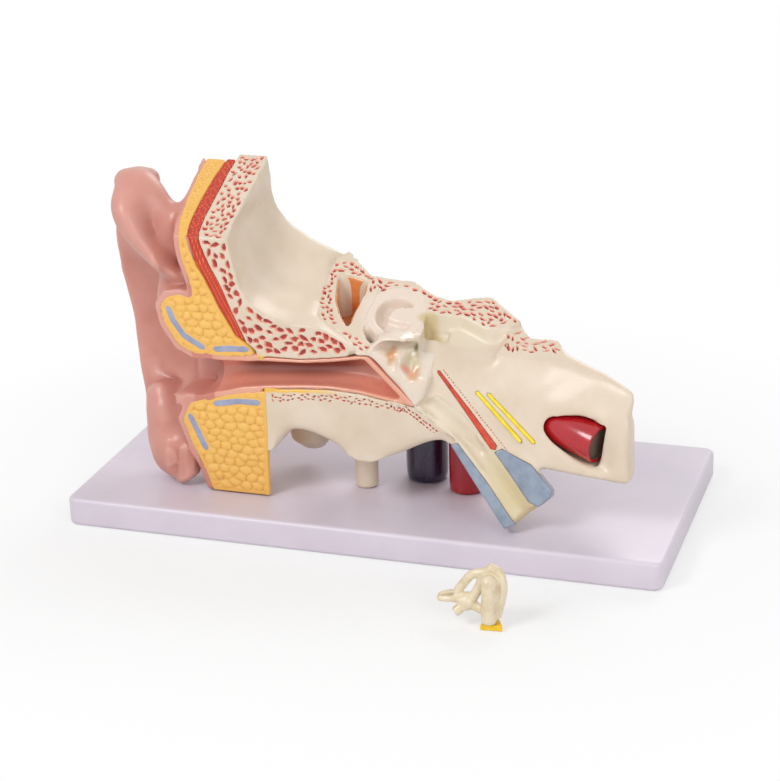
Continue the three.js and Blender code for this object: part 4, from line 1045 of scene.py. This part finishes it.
class EAR_OT_fat(bpy.types.Operator):
    """Fat pads in front of and under the ear canal, and the cartilage strips let into them"""
    bl_idname = "ear.fat"
    bl_label = "Fat and cartilage"

    def execute(self, context):
        sizes = context.scene.ear_model
        # Moulded PVC, warm yellow, glazed darker in the creases between the lobules, with painted highlight
        # on the upper part and painted shade on the lower part of each lobule
        fat = tinted("moulded_pvc_fat", ("#C6893C", "#E0A649", sizes.fat_colour, "#F3CC7C"), "relief",
                     0.25, 5, 0.38, {"Coat Weight": 0.25})
        # Moulded PVC, lilac grey, satin
        cartilage = moulded("moulded_pvc_cartilage", ("#868BA6", sizes.cartilage_colour, "#A3A8BE"),
                            6, 0.42, {"Coat Weight": 0.2})
        inlays = {"upper_fat_pad": ["auricular_cartilage_upper", "canal_cartilage_upper"],
                  "lower_fat_pad": ["canal_cartilage_lower", "auricular_cartilage_lower"]}
        for name, strips in inlays.items():
            seen = self.whole(name, strips, sizes)
            covered = []
            for each in strips:
                strip = refine(each + "_cast", [each], 0.5, (FRONT,), 25, 1, ease=36, grow=0.4)
                places = corners(strip)
                places[facing(strip, FRONT)] += 0.2 * FRONT[0]
                set_corners(strip, places)
                covered.append(places[places[:, 1] < -48])
                keep(strip, "cartilage", cartilage, each)
            pad = refine(name + "_cast", [name, *strips], sizes.soft_voxel / MM, (FRONT, UPPER),
                         20, 0, ease=24, grow=0.4)
            if name == "upper_fat_pad":
                lean(pad)
                bed(pad, "temporal_muscle")
            for each in (pad, seen):
                self.swell(each, sizes, np.vstack(covered))
                smooth(each, 60)
            seen.hide_viewport = True
            seen.hide_render = True
            keep(pad, "fat", fat, name)
        return {"FINISHED"}

    def whole(self, name, strips, sizes):
        """A pad as it is seen at the end, with the room round its strips of cartilage filled."""
        fills = []
        for each in strips:
            form = copy_of("fill", each, merge=COARSE_MERGE)
            apply(form, "DISPLACE", strength=0.9 * MM, mid_level=0.0)
            places = corners(form)
            places[:, 1] = np.maximum(places[:, 1], FRONT_CUT)
            set_corners(form, places)
            fills.append(form)
        pad = refine(name + "_seen", [name], sizes.soft_voxel / MM, (FRONT, UPPER), 20, 0,
                     ease=24, grow=0.4, fills=fills)
        if name == "upper_fat_pad":
            lean(pad)
            bed(pad, "temporal_muscle")
            apply(pad, "REMESH", mode="VOXEL", voxel_size=sizes.soft_voxel)
            settle(pad, (FRONT, UPPER), 10, 0)
        return pad

    def swell(self, pad, sizes, strips):
        """Raises overlapping lobules on the cut faces, inside a plain rim and beside the cartilage."""
        rng = np.random.default_rng(21)
        relief = np.full(len(pad.data.vertices), 0.5)
        places = corners(pad)
        front = [size / MM for size in (sizes.lobule_width, sizes.lobule_height, sizes.lobule_rise)]
        for cut, wide, high, rise in ((FRONT, *front), (UPPER, 3.0, 2.4, 0.25)):
            on = facing(pad, cut)
            if on.sum() < 50:
                continue
            gap, _ = margins(pad, on)
            level, up = in_face(cut)
            flat = np.stack((places[on] @ level / wide, places[on] @ up / high), 1)
            low = flat.min(0) - 2
            count = np.ceil(flat.max(0) + 2 - low).astype(int)
            grid = np.stack(np.meshgrid(np.arange(count[0]), np.arange(count[1]), indexing="ij"), -1)
            grid = grid.reshape(-1, 2).astype(float)
            grid[:, 0] += 0.5 * (grid[:, 1] % 2)
            seeds = grid + low + rng.uniform(-0.3, 0.3, grid.shape)
            distance, which = near(flat, seeds, 2)
            border = distance[:, 1] - distance[:, 0]
            bulge = 1 - np.exp(-border / 0.13)
            tilt = (flat - seeds[which])[:, 1]
            beside, _ = near(places[on], strips)
            fade = np.clip((np.minimum(gap[on], beside[:, 0] + 0.3) - 1.0) / 1.4, 0, 1)
            height = (bulge * (0.75 - 0.35 * tilt) + tilt * 0.5) * fade
            places[on] += np.outer(height * rise + 0.12, cut[0])
            # Tone of each lobule: a brown line at its border, darkest along its lower edge, with painted
            # highlight on its upper part and painted shade on its lower part
            shade = (bulge - 0.85) * (0.75 - 0.6 * tilt) + 0.3 * tilt
            relief[on] = 0.6 + fade * np.clip(shade, -0.5, 0.3)
        set_corners(pad, places)
        mark(pad, "relief", np.clip(relief, 0, 1))


class EAR_OT_lobules(bpy.types.Operator):
    """Gives the fat pads their final surface, once skin and bone have been let in round them"""
    bl_idname = "ear.lobules"
    bl_label = "Fat lobules"

    def execute(self, context):
        for name in ("upper_fat_pad", "lower_fat_pad"):
            seen = bpy.data.objects[name + "_seen"]
            pad = bpy.data.objects[name + "_cast"]
            seen.data.materials.clear()
            seen.data.materials.append(pad.data.materials[0])
            pad.data = seen.data
            bpy.data.objects.remove(seen)
        return {"FINISHED"}


class EAR_OT_muscle(bpy.types.Operator):
    """Temporal muscle beside the scale of the temporal bone"""
    bl_idname = "ear.muscle"
    bl_label = "Muscle"

    def execute(self, context):
        sizes = context.scene.ear_model
        # Moulded PVC, bright red with orange yellow brushed along the fibres
        red = tinted("moulded_pvc_muscle",
                     ("#8E1810", "#BC2A14", sizes.muscle_colour, "#E2823A", "#EBB05A"),
                     "relief", 0.3, 4, 0.38, {"Coat Weight": 0.12})
        muscle = refine("temporal_muscle_cast", ["temporal_muscle"], 0.6, (FRONT, UPPER), 20, 0, grow=0.3)
        x, y, z = corners(muscle).T
        lean(muscle)
        places = corners(muscle)
        on = facing(muscle, FRONT)
        relief = np.full(len(places), 0.4)
        line = np.interp(z, [100, 112, 130, 150, 166], [-69, -73, -82, -89, -92])
        across = x - line + 0.5 * np.sin(z / 7)
        fibre = 0.5 + 0.3 * np.sin(across * 2 * math.pi / 2.3)
        fibre = fibre + 0.2 * np.sin(across * 2 * math.pi / 0.9 + places[:, 2] / 5)
        relief[on] = 0.14 + 0.7 * fibre[on] ** 1.8
        crossed = facing(muscle, UPPER)
        dots = np.sin(2.3 * x + 1.3 * np.sin(0.9 * y)) * np.sin(1.9 * y + 1.1 * np.sin(1.1 * x))
        relief[crossed] = 0.2 + 0.7 * np.clip(dots[crossed], 0, 1) ** 1.5
        places[on] += np.outer((fibre[on] - 0.5) * 0.5, FRONT[0])
        rest = ~on & ~facing(muscle, UPPER)
        turn = np.sin(places[:, 1] * 2 * math.pi / 2.6 + 0.8 * np.sin(places[:, 2] / 9))
        relief[rest] = 0.4 + 0.2 * turn[rest]
        places[rest] += directions(muscle)[rest] * (turn[rest] * 0.2)[:, None]
        set_corners(muscle, places)
        mark(muscle, "relief", relief)
        keep(muscle, "muscle", red, "temporal_muscle")
        return {"FINISHED"}


class EAR_OT_auricle(bpy.types.Operator):
    """Auricle with the skin at the side of the head, the lining of the ear canal and the eardrum"""
    bl_idname = "ear.auricle"
    bl_label = "Auricle"

    def execute(self, context):
        sizes = context.scene.ear_model
        # Soft moulded PVC, skin pink with a faint blush, satin; painted shade, redder, in its hollows and
        # painted highlight, paler, on the crowns of the auricle
        skin = moulded("soft_pvc_skin", ("#BB7767", sizes.skin_colour, "#CD9083"), 30, 0.4,
                       {"Coat Weight": 0.12, "Subsurface Weight": 0.08, "Subsurface Scale": 0.004},
                       grain_mm=0.9, soft_paint=True,
                       paint=(("blush", "#C87868"), ("painted_hollow_shade", "#A85C50"), ("crown", "#D9A194")))
        # Moulded PVC under a wet-looking clear lacquer, from skin pink at the mouth to salmon pink inside,
        # with a painted shadow, dark red brown, under the roof of the canal
        lining = moulded("lacquered_pvc_canal", ("#D88D7A", sizes.canal_colour, "#E7A493"), 18, 0.28,
                         {"Coat Weight": 0.4}, soft_paint=True,
                         paint=(("blush", "#D88A76"), ("shade", "#823828"), ("cut_rim", "#E0A68A")))
        upper_frame = (np.array((0, FRONT_CUT, UPPER_CUT_HEIGHT)), np.array((1.0, 0, 0)),
                       np.array((0, 2, 1)) / math.sqrt(5), UPPER[0])
        fills = [ball(*form) for form in SKIN_FORMS]
        fills += [prism("fill", CANAL_LIP, -49.9, -26, axis=1),
                  prism("fill", LOWER_RIM, -49.95, -46, axis=1),
                  prism("fill", UPPER_RIM, -49.95, -46, axis=1),
                  prism("fill", SCALP_RIM, -4, -0.05, frame_of=upper_frame)]
        mass = refine("skin", ["auricle", "canal_lining", "tympanic_membrane"], 1.0, (FRONT, UPPER),
                      25, 1, ease=3, grow=0.25, fills=fills)
        lean(mass)
        self.sculpt(mass)
        bed(mass, "upper_fat_pad", "lower_fat_pad")
        drum = twin_of(mass, "tympanic_membrane_cast")
        cell = prism("cell", DRUM_CELL, -60, 0, axis=1)
        carve(drum, twin_of(cell), "INTERSECT")
        carve(mass, cell)
        canal = twin_of(mass, "canal_lining_cast")
        cell = prism("cell", CANAL_CELL, 60, 120)
        carve(canal, twin_of(cell), "INTERSECT")
        carve(mass, cell)
        mass.name = mass.data.name = "auricle_cast"
        for part, slot, material, name in ((canal, "canal_skin", lining, "canal_lining"),
                                           (mass, "skin", skin, "auricle"),
                                           (drum, "canal_skin", lining, "tympanic_membrane")):
            x, y, z = corners(part).T
            roof = np.interp(x, *CANAL_ROOF_LINE)
            # Painted shadow, dark red brown, on the back wall of the canal just under its roof
            roof_shadow = step(z - roof, -13, -5.5) * step(y, -49.6, -47)
            mark(part, "blush", step(x, -122, -66) * step(z, 60, 68) * (1 - step(z, 104, 114)))
            mark(part, "shade", roof_shadow * step(x, -84, -66) * (1 - step(x, -14, 6)))
            mark(part, "cut_rim", facing(part, FRONT) * step(x, -92, -80) * 0.8)
            # Painted shade in the hollows and painted highlight on the crowns of the auricle
            deep = hollows(part, 40, 1.6)
            mark(part, "painted_hollow_shade", np.clip(deep, 0, 1))
            mark(part, "crown", np.clip(-deep, 0, 0.7) * (x < -100))
            smooth(part, 60)
            keep(part, slot, material, name)
        return {"FINISHED"}

    def sculpt(self, mass):
        """Rounds the auricle off and gives it its ridge, valley, dimple and lobule."""
        x, y, z = corners(mass).T
        near_fat = (x > -120) & (y < -47.5)
        melt(mass, step(-x, 98, 112) * ~near_fat * ~facing(mass, UPPER), 60)
        x, y, z = corners(mass).T
        ends = np.maximum(step(z, 132, 146), 1 - step(z, 56, 76))
        melt(mass, step(-x, 108, 116) * ~near_fat * ends * (y < 0), 90)
        x, y, z = corners(mass).T
        mouth = step(x, -116, -106) * (1 - step(x, -84, -74))
        melt(mass, mouth * step(z, 58, 66) * (1 - step(z, 96, 100)) * (y > -49.4), 60)
        places = corners(mass)
        places = stroke(places, *HELIX_RIDGE)
        places = stroke(places, *LOBE_DIMPLE)
        for line, reach, amount in OUTER_RELIEF:
            line = np.array(line, float)
            side = np.flatnonzero(directions(mass)[:, 0] < -0.2)
            _, nearest = near(line, places[side][:, 1:])
            over = [places[side][np.hypot(*(places[side][:, 1:] - spot).T) < 2][:, 0] for spot in line]
            outer = [found.min() if len(found) else places[side][i, 0]
                     for found, i in zip(over, nearest)]
            shaped = stroke(places, np.column_stack((outer, line)), reach, amount, (1, 0, 0))
            places += (shaped - places) * step(places[:, 1], -42, -26)[:, None]
        set_corners(mass, places)


class EAR_OT_antrum(bpy.types.Operator):
    """Lining of the mastoid antrum"""
    bl_idname = "ear.antrum"
    bl_label = "Antrum"

    def execute(self, context):
        # Moulded PVC with orange brown lacquer: warm and glossy, darker in one corner where it pooled
        orange = moulded("lacquered_pvc_antrum", ("#C56C34", "#DB8449", "#E39B62"), 7, 0.28,
                         {"Coat Weight": 0.5}, paint=(("stain", "#A85A2C"),), soft_paint=True)
        rim = [(-60, -60), (20, -60), (20, 20), (-60, 20)]
        cup = refine("antrum_lining_cast", ["antrum_lining"], 0.6, (), 25, 2, grow=0.45,
                     fills=[prism("fill", ANTRUM_FILL, 89.5, 110)],
                     tools=[above_petrous("cut", rim, [1.3] * 4)])
        x, y, _ = corners(cup).T
        corner = np.hypot((x + 14) / 4, (y + 33) / 7)
        mark(cup, "stain", (1 - step(corner, 0.4, 1.2)) * 0.6)
        keep(cup, "antrum", orange, "antrum_lining")
        return {"FINISHED"}


class EAR_OT_tube(bpy.types.Operator):
    """Cartilage of the Eustachian tube, tensor muscle and the two petrosal nerves"""
    bl_idname = "ear.tube"
    bl_label = "Eustachian tube"

    def execute(self, context):
        sizes = context.scene.ear_model
        # Moulded PVC, blue grey, satin, bluer and darker than the strips in the fat
        grey = moulded("moulded_pvc_tube_cartilage", ("#74808F", "#8793A5", "#97A3B2"), 7, 0.38,
                       {"Coat Weight": 0.25})
        # Hand-brushed enamel, red, running to orange where it is thin
        red = moulded("enamel_tensor_muscle", ("#A8201A", "#C8381F", "#D8602C"), 3, 0.35,
                      {"Coat Weight": 0.3})
        # Hand-brushed enamel, lemon yellow, with the shine of paint
        yellow = moulded("enamel_nerve", ("#DDBE12", sizes.nerve_colour, "#F5E14A"), 4, 0.32,
                         {"Coat Weight": 0.35})
        for name in ("tube_cartilage_lateral", "tube_cartilage_medial"):
            keep(refine(name + "_cast", [name], 0.6, (TUBE,), 25, 2), "tube_cartilage", grey, name)
        tensor = refine("tensor_tympani_cast", ["tensor_tympani"], 0.4, (TUBE,), 25, 2)
        keep(tensor, "muscle", red, "tensor_tympani")
        for name in ("petrosal_nerve_lesser", "petrosal_nerve_greater"):
            keep(refine(name + "_cast", [name], 0.35, (TUBE,), 25, 2), "nerve", yellow, name)
        return {"FINISHED"}


class EAR_OT_vessels(bpy.types.Operator):
    """Carotid artery and jugular vein where they are cut short"""
    bl_idname = "ear.vessels"
    bl_label = "Vessels"

    def execute(self, context):
        sizes = context.scene.ear_model
        # Gloss enamel on a turned post, deep red: nearly even, with sharp highlights
        red = moulded("gloss_enamel_artery", ("#9C0616", sizes.artery_colour, "#BC1022"), 20, 0.22,
                      {"Coat Weight": 0.45}, grain=0.02)
        # Gloss enamel, midnight blue, the shiniest paint on the model
        blue = moulded("gloss_enamel_vein", ("#1F1930", sizes.vein_colour, "#332A4A"), 14, 0.22,
                       {"Coat Weight": 0.6}, grain=0.03)
        apex = turned("carotid_artery_apex_cast", APEX_PROFILE, APEX_START, APEX_ALONG)
        # Bare grey brown plastic inside the cut artery
        bare = moulded("bare_pvc_lumen", ("#5E4A42", "#6E5A50", "#7A675C"), 8, 0.45)
        keep(apex, "artery", red, "carotid_artery_apex")
        apex.data.materials.append(bare)
        axis = unit(APEX_ALONG)
        for face in apex.data.polygons:
            middle = np.array(face.center) / MM - APEX_START
            along = middle @ axis
            if along > 32 and np.linalg.norm(middle - along * axis) < 8.75:
                face.material_index = 1
        stub = turned("carotid_artery_stub_cast", ARTERY_PROFILE, ARTERY_FOOT, (0, 0, 1))
        keep(stub, "artery", red, "carotid_artery_stub")
        vein = turned("jugular_vein_stub_cast", VEIN_PROFILE, VEIN_FOOT, (0, 0, 1))
        carve(vein, turned("hole", SCREW_BORE, VEIN_FOOT, (0, 0, 1), 32))
        keep(vein, "vein", blue, "jugular_vein_stub")
        return {"FINISHED"}


class EAR_OT_labyrinth(bpy.types.Operator):
    """Labyrinth and the stump of its nerve, taken out in front of the board"""
    bl_idname = "ear.labyrinth"
    bl_label = "Labyrinth"

    def execute(self, context):
        sizes = context.scene.ear_model
        # Moulded PVC, ivory, hand-tinted, drifting to tan here and there: satin
        ivory = moulded("moulded_pvc_labyrinth", ("#CBB78F", sizes.labyrinth_colour, "#E7DBC3"), 7, 0.36,
                        {"Coat Weight": 0.3})
        # Hand-brushed enamel, golden yellow
        yellow = moulded("enamel_labyrinth_nerve", ("#D9A908", "#F0C40A", "#F5D040"), 5, 0.35,
                         {"Coat Weight": 0.3})
        keep(refine("labyrinth_cast", ["labyrinth"], 0.5, (), 30, 3), "labyrinth", ivory, "labyrinth",
             body="labyrinth_body")
        foot = refine("labyrinth_nerve_cast", ["labyrinth_nerve"], 0.4, (), 20, 1)
        keep(foot, "nerve", yellow, "labyrinth_nerve", body="labyrinth_body")
        return {"FINISHED"}


class EAR_OT_board(bpy.types.Operator):
    """Baseboard with its screws"""
    bl_idname = "ear.board"
    bl_label = "Board"

    def execute(self, context):
        sizes = context.scene.ear_model
        # Injection-moulded ABS, lilac white: even, satin, with a very fine grain
        plastic = moulded("moulded_abs_board", ("#CCC2CE", sizes.board_colour, "#D8CFDA"), 60, 0.4,
                          {"Coat Weight": 0.1}, grain_mm=0.8, grain=0.05)
        bpy.ops.object.select_all(action="DESELECT")
        low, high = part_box("baseboard")
        bpy.ops.mesh.primitive_cube_add(size=1, location=[(a + b) / 2 for a, b in zip(low, high)],
                                        scale=[b - a for a, b in zip(low, high)])
        board = bpy.context.object
        board.name = board.data.name = "baseboard_cast"
        bpy.ops.object.transform_apply(location=True, rotation=True, scale=True)
        self.round_edges(board, lambda a, b: abs(a.z - b.z) > 1 * MM, 6 * MM, 10)
        self.round_edges(board, lambda a, b: abs(a.z - b.z) < 0.1 * MM, 2.5 * MM, 6)
        for x, y in SCREW_PLACES:
            carve(board, turned("hole", COUNTERBORE, (x, y, 0), (0, 0, 1), 48))
        smooth(board, 25)
        keep(board, "board", plastic, "baseboard")
        # Zinc-plated steel: a grey metal with a faint grain in colour and shine
        steel, tree = new_material("zinc_plated_steel")
        place = node(tree, "ShaderNodeTexCoord").outputs["Object"]
        turn = node(tree, "ShaderNodeTexNoise", {"Scale": 2500.0, "Detail": 2.0}, {"Vector": place})
        shade = node(tree, "ShaderNodeMapRange", {"To Min": 0.28, "To Max": 0.42},
                     {"Value": turn.outputs[0]})
        ramp = node(tree, "ShaderNodeValToRGB", links={"Fac": turn.outputs[0]})
        ramp.color_ramp.elements[0].color = linear("#8F9196")
        ramp.color_ramp.elements[1].color = linear("#B9BBBF")
        shader = node(tree, "ShaderNodeBsdfPrincipled", {"Metallic": 1.0},
                      {"Base Color": ramp.outputs[0], "Roughness": shade.outputs[0]})
        node(tree, "ShaderNodeOutputMaterial", links={"Surface": shader.outputs[0]})
        for i in (1, 2, 3):
            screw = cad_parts[f"fixing_screw_{i}"]
            screw.data.materials.clear()
            screw.data.materials.append(steel)
        return {"FINISHED"}

    def round_edges(self, board, wanted, width, segments):
        """Rounds the edges whose two ends pass a test."""
        alone(board)
        bpy.ops.object.mode_set(mode="EDIT")
        bpy.ops.mesh.select_mode(type="EDGE")
        bpy.ops.mesh.select_all(action="DESELECT")
        bpy.ops.object.mode_set(mode="OBJECT")
        mesh = board.data
        for edge in mesh.edges:
            a, b = (mesh.vertices[i].co for i in edge.vertices)
            edge.select = wanted(a, b)
        bpy.ops.object.mode_set(mode="EDIT")
        bpy.ops.mesh.bevel(offset=width, segments=segments, affect="EDGES")
        bpy.ops.object.mode_set(mode="OBJECT")


class EAR_OT_stage(bpy.types.Operator):
    """Floor, light and camera"""
    bl_idname = "ear.stage"
    bl_label = "Stage"

    def execute(self, context):
        scene = context.scene
        scene.view_settings.view_transform = "Standard"
        bpy.ops.object.select_all(action="DESELECT")
        bpy.ops.mesh.primitive_plane_add(size=6, location=(0, 0, 0))
        ground = context.object
        ground.name = "ground"
        # Matt white paper that keeps the shadows, and is plain white to the camera away from the model
        paper, tree = new_material("white_paper")
        path = node(tree, "ShaderNodeLightPath")
        place = node(tree, "ShaderNodeTexCoord").outputs["Object"]
        fibre = node(tree, "ShaderNodeTexNoise", {"Scale": 300.0}, {"Vector": place})
        tone = node(tree, "ShaderNodeMapRange", {"To Min": 0.84, "To Max": 0.88},
                    {"Value": fibre.outputs[0]})
        diffuse = node(tree, "ShaderNodeBsdfDiffuse", links={"Color": tone.outputs[0]})
        glow = node(tree, "ShaderNodeEmission", {"Strength": 1.0})
        away = node(tree, "ShaderNodeVectorMath", {"operation": "LENGTH"}, {0: place})
        fade = node(tree, "ShaderNodeMapRange", {"From Min": 0.16, "From Max": 0.34, "To Min": 0.5},
                    {"Value": away.outputs["Value"]})
        seen = node(tree, "ShaderNodeMath", {"operation": "MULTIPLY"},
                    {0: fade.outputs[0], 1: path.outputs["Is Camera Ray"]})
        mix = node(tree, "ShaderNodeMixShader",
                   links={0: seen.outputs[0], 1: diffuse.outputs[0], 2: glow.outputs[0]})
        node(tree, "ShaderNodeOutputMaterial", links={"Surface": mix.outputs[0]})
        ground.data.materials.append(paper)
        world = bpy.data.worlds.new("studio")
        scene.world = world
        world.use_nodes = True
        tree = world.node_tree
        tree.nodes.clear()
        path = node(tree, "ShaderNodeLightPath")
        either = node(tree, "ShaderNodeMath", {"operation": "MAXIMUM"},
                      {0: path.outputs["Is Camera Ray"], 1: path.outputs["Is Glossy Ray"]})
        seen = node(tree, "ShaderNodeMath", {"operation": "MAXIMUM"},
                    {0: either.outputs[0], 1: path.outputs["Is Transmission Ray"]})
        strength = node(tree, "ShaderNodeMapRange", {"To Min": WORLD_LIGHT, "To Max": 1.0},
                        {"Value": seen.outputs[0]})
        back = node(tree, "ShaderNodeBackground", {"Color": (1, 1, 1, 1)},
                    {"Strength": strength.outputs[0]})
        node(tree, "ShaderNodeOutputWorld", links={"Surface": back.outputs[0]})
        for lamp in LAMPS:
            self.lamp(*lamp)
        camera = bpy.data.cameras.new("camera")
        camera.lens = CAMERA_LENS
        camera.sensor_width = 36
        camera.clip_start = 0.05
        seat = bpy.data.objects.new("camera", camera)
        context.collection.objects.link(seat)
        turn = Matrix((Vector(CAMERA_RIGHT), Vector(CAMERA_UP), -Vector(CAMERA_FORWARD)))
        seat.matrix_world = Matrix.Translation(Vector(CAMERA_PLACE)) @ turn.transposed().to_4x4()
        scene.camera = seat
        return {"FINISHED"}

    def lamp(self, name, place, size, power):
        """A round soft lamp that faces the model."""
        light = bpy.data.lights.new(name, "AREA")
        light.shape = "DISK"
        light.size = size
        light.energy = power
        lamp = bpy.data.objects.new(name, light)
        lamp.location = place
        aim = Vector(LAMP_TARGET) - Vector(place)
        lamp.rotation_euler = aim.to_track_quat("-Z", "Y").to_euler()
        bpy.context.collection.objects.link(lamp)


class EAR_PT_model(bpy.types.Panel):
    """Sizes and building steps of the ear model"""
    bl_label = "Ear model"
    bl_idname = "EAR_PT_model"
    bl_space_type = "VIEW_3D"
    bl_region_type = "UI"
    bl_category = "Ear Model"

    def draw(self, context):
        for name in EarModelSettings.__annotations__:
            self.layout.prop(context.scene.ear_model, name)
        for operator in OPERATORS:
            self.layout.operator(operator.bl_idname)


OPERATORS = (EAR_OT_muscle, EAR_OT_fat, EAR_OT_auricle, EAR_OT_bone, EAR_OT_lobules, EAR_OT_antrum,
             EAR_OT_tube, EAR_OT_vessels, EAR_OT_labyrinth, EAR_OT_board, EAR_OT_stage)
CLASSES = (EarModelSettings, *OPERATORS, EAR_PT_model)


def register():
    for each in CLASSES:
        bpy.utils.register_class(each)
    bpy.types.Scene.ear_model = bpy.props.PointerProperty(type=EarModelSettings)


def unregister():
    del bpy.types.Scene.ear_model
    for each in reversed(CLASSES):
        bpy.utils.unregister_class(each)


def main():
    register()
    bpy.ops.ear.muscle()
    bpy.ops.ear.fat()
    bpy.ops.ear.auricle()
    bpy.ops.ear.bone()
    bpy.ops.ear.lobules()
    bpy.ops.ear.antrum()
    bpy.ops.ear.tube()
    bpy.ops.ear.vessels()
    bpy.ops.ear.labyrinth()
    bpy.ops.ear.board()
    bpy.ops.ear.stage()


if __name__ == "__main__":
    main()
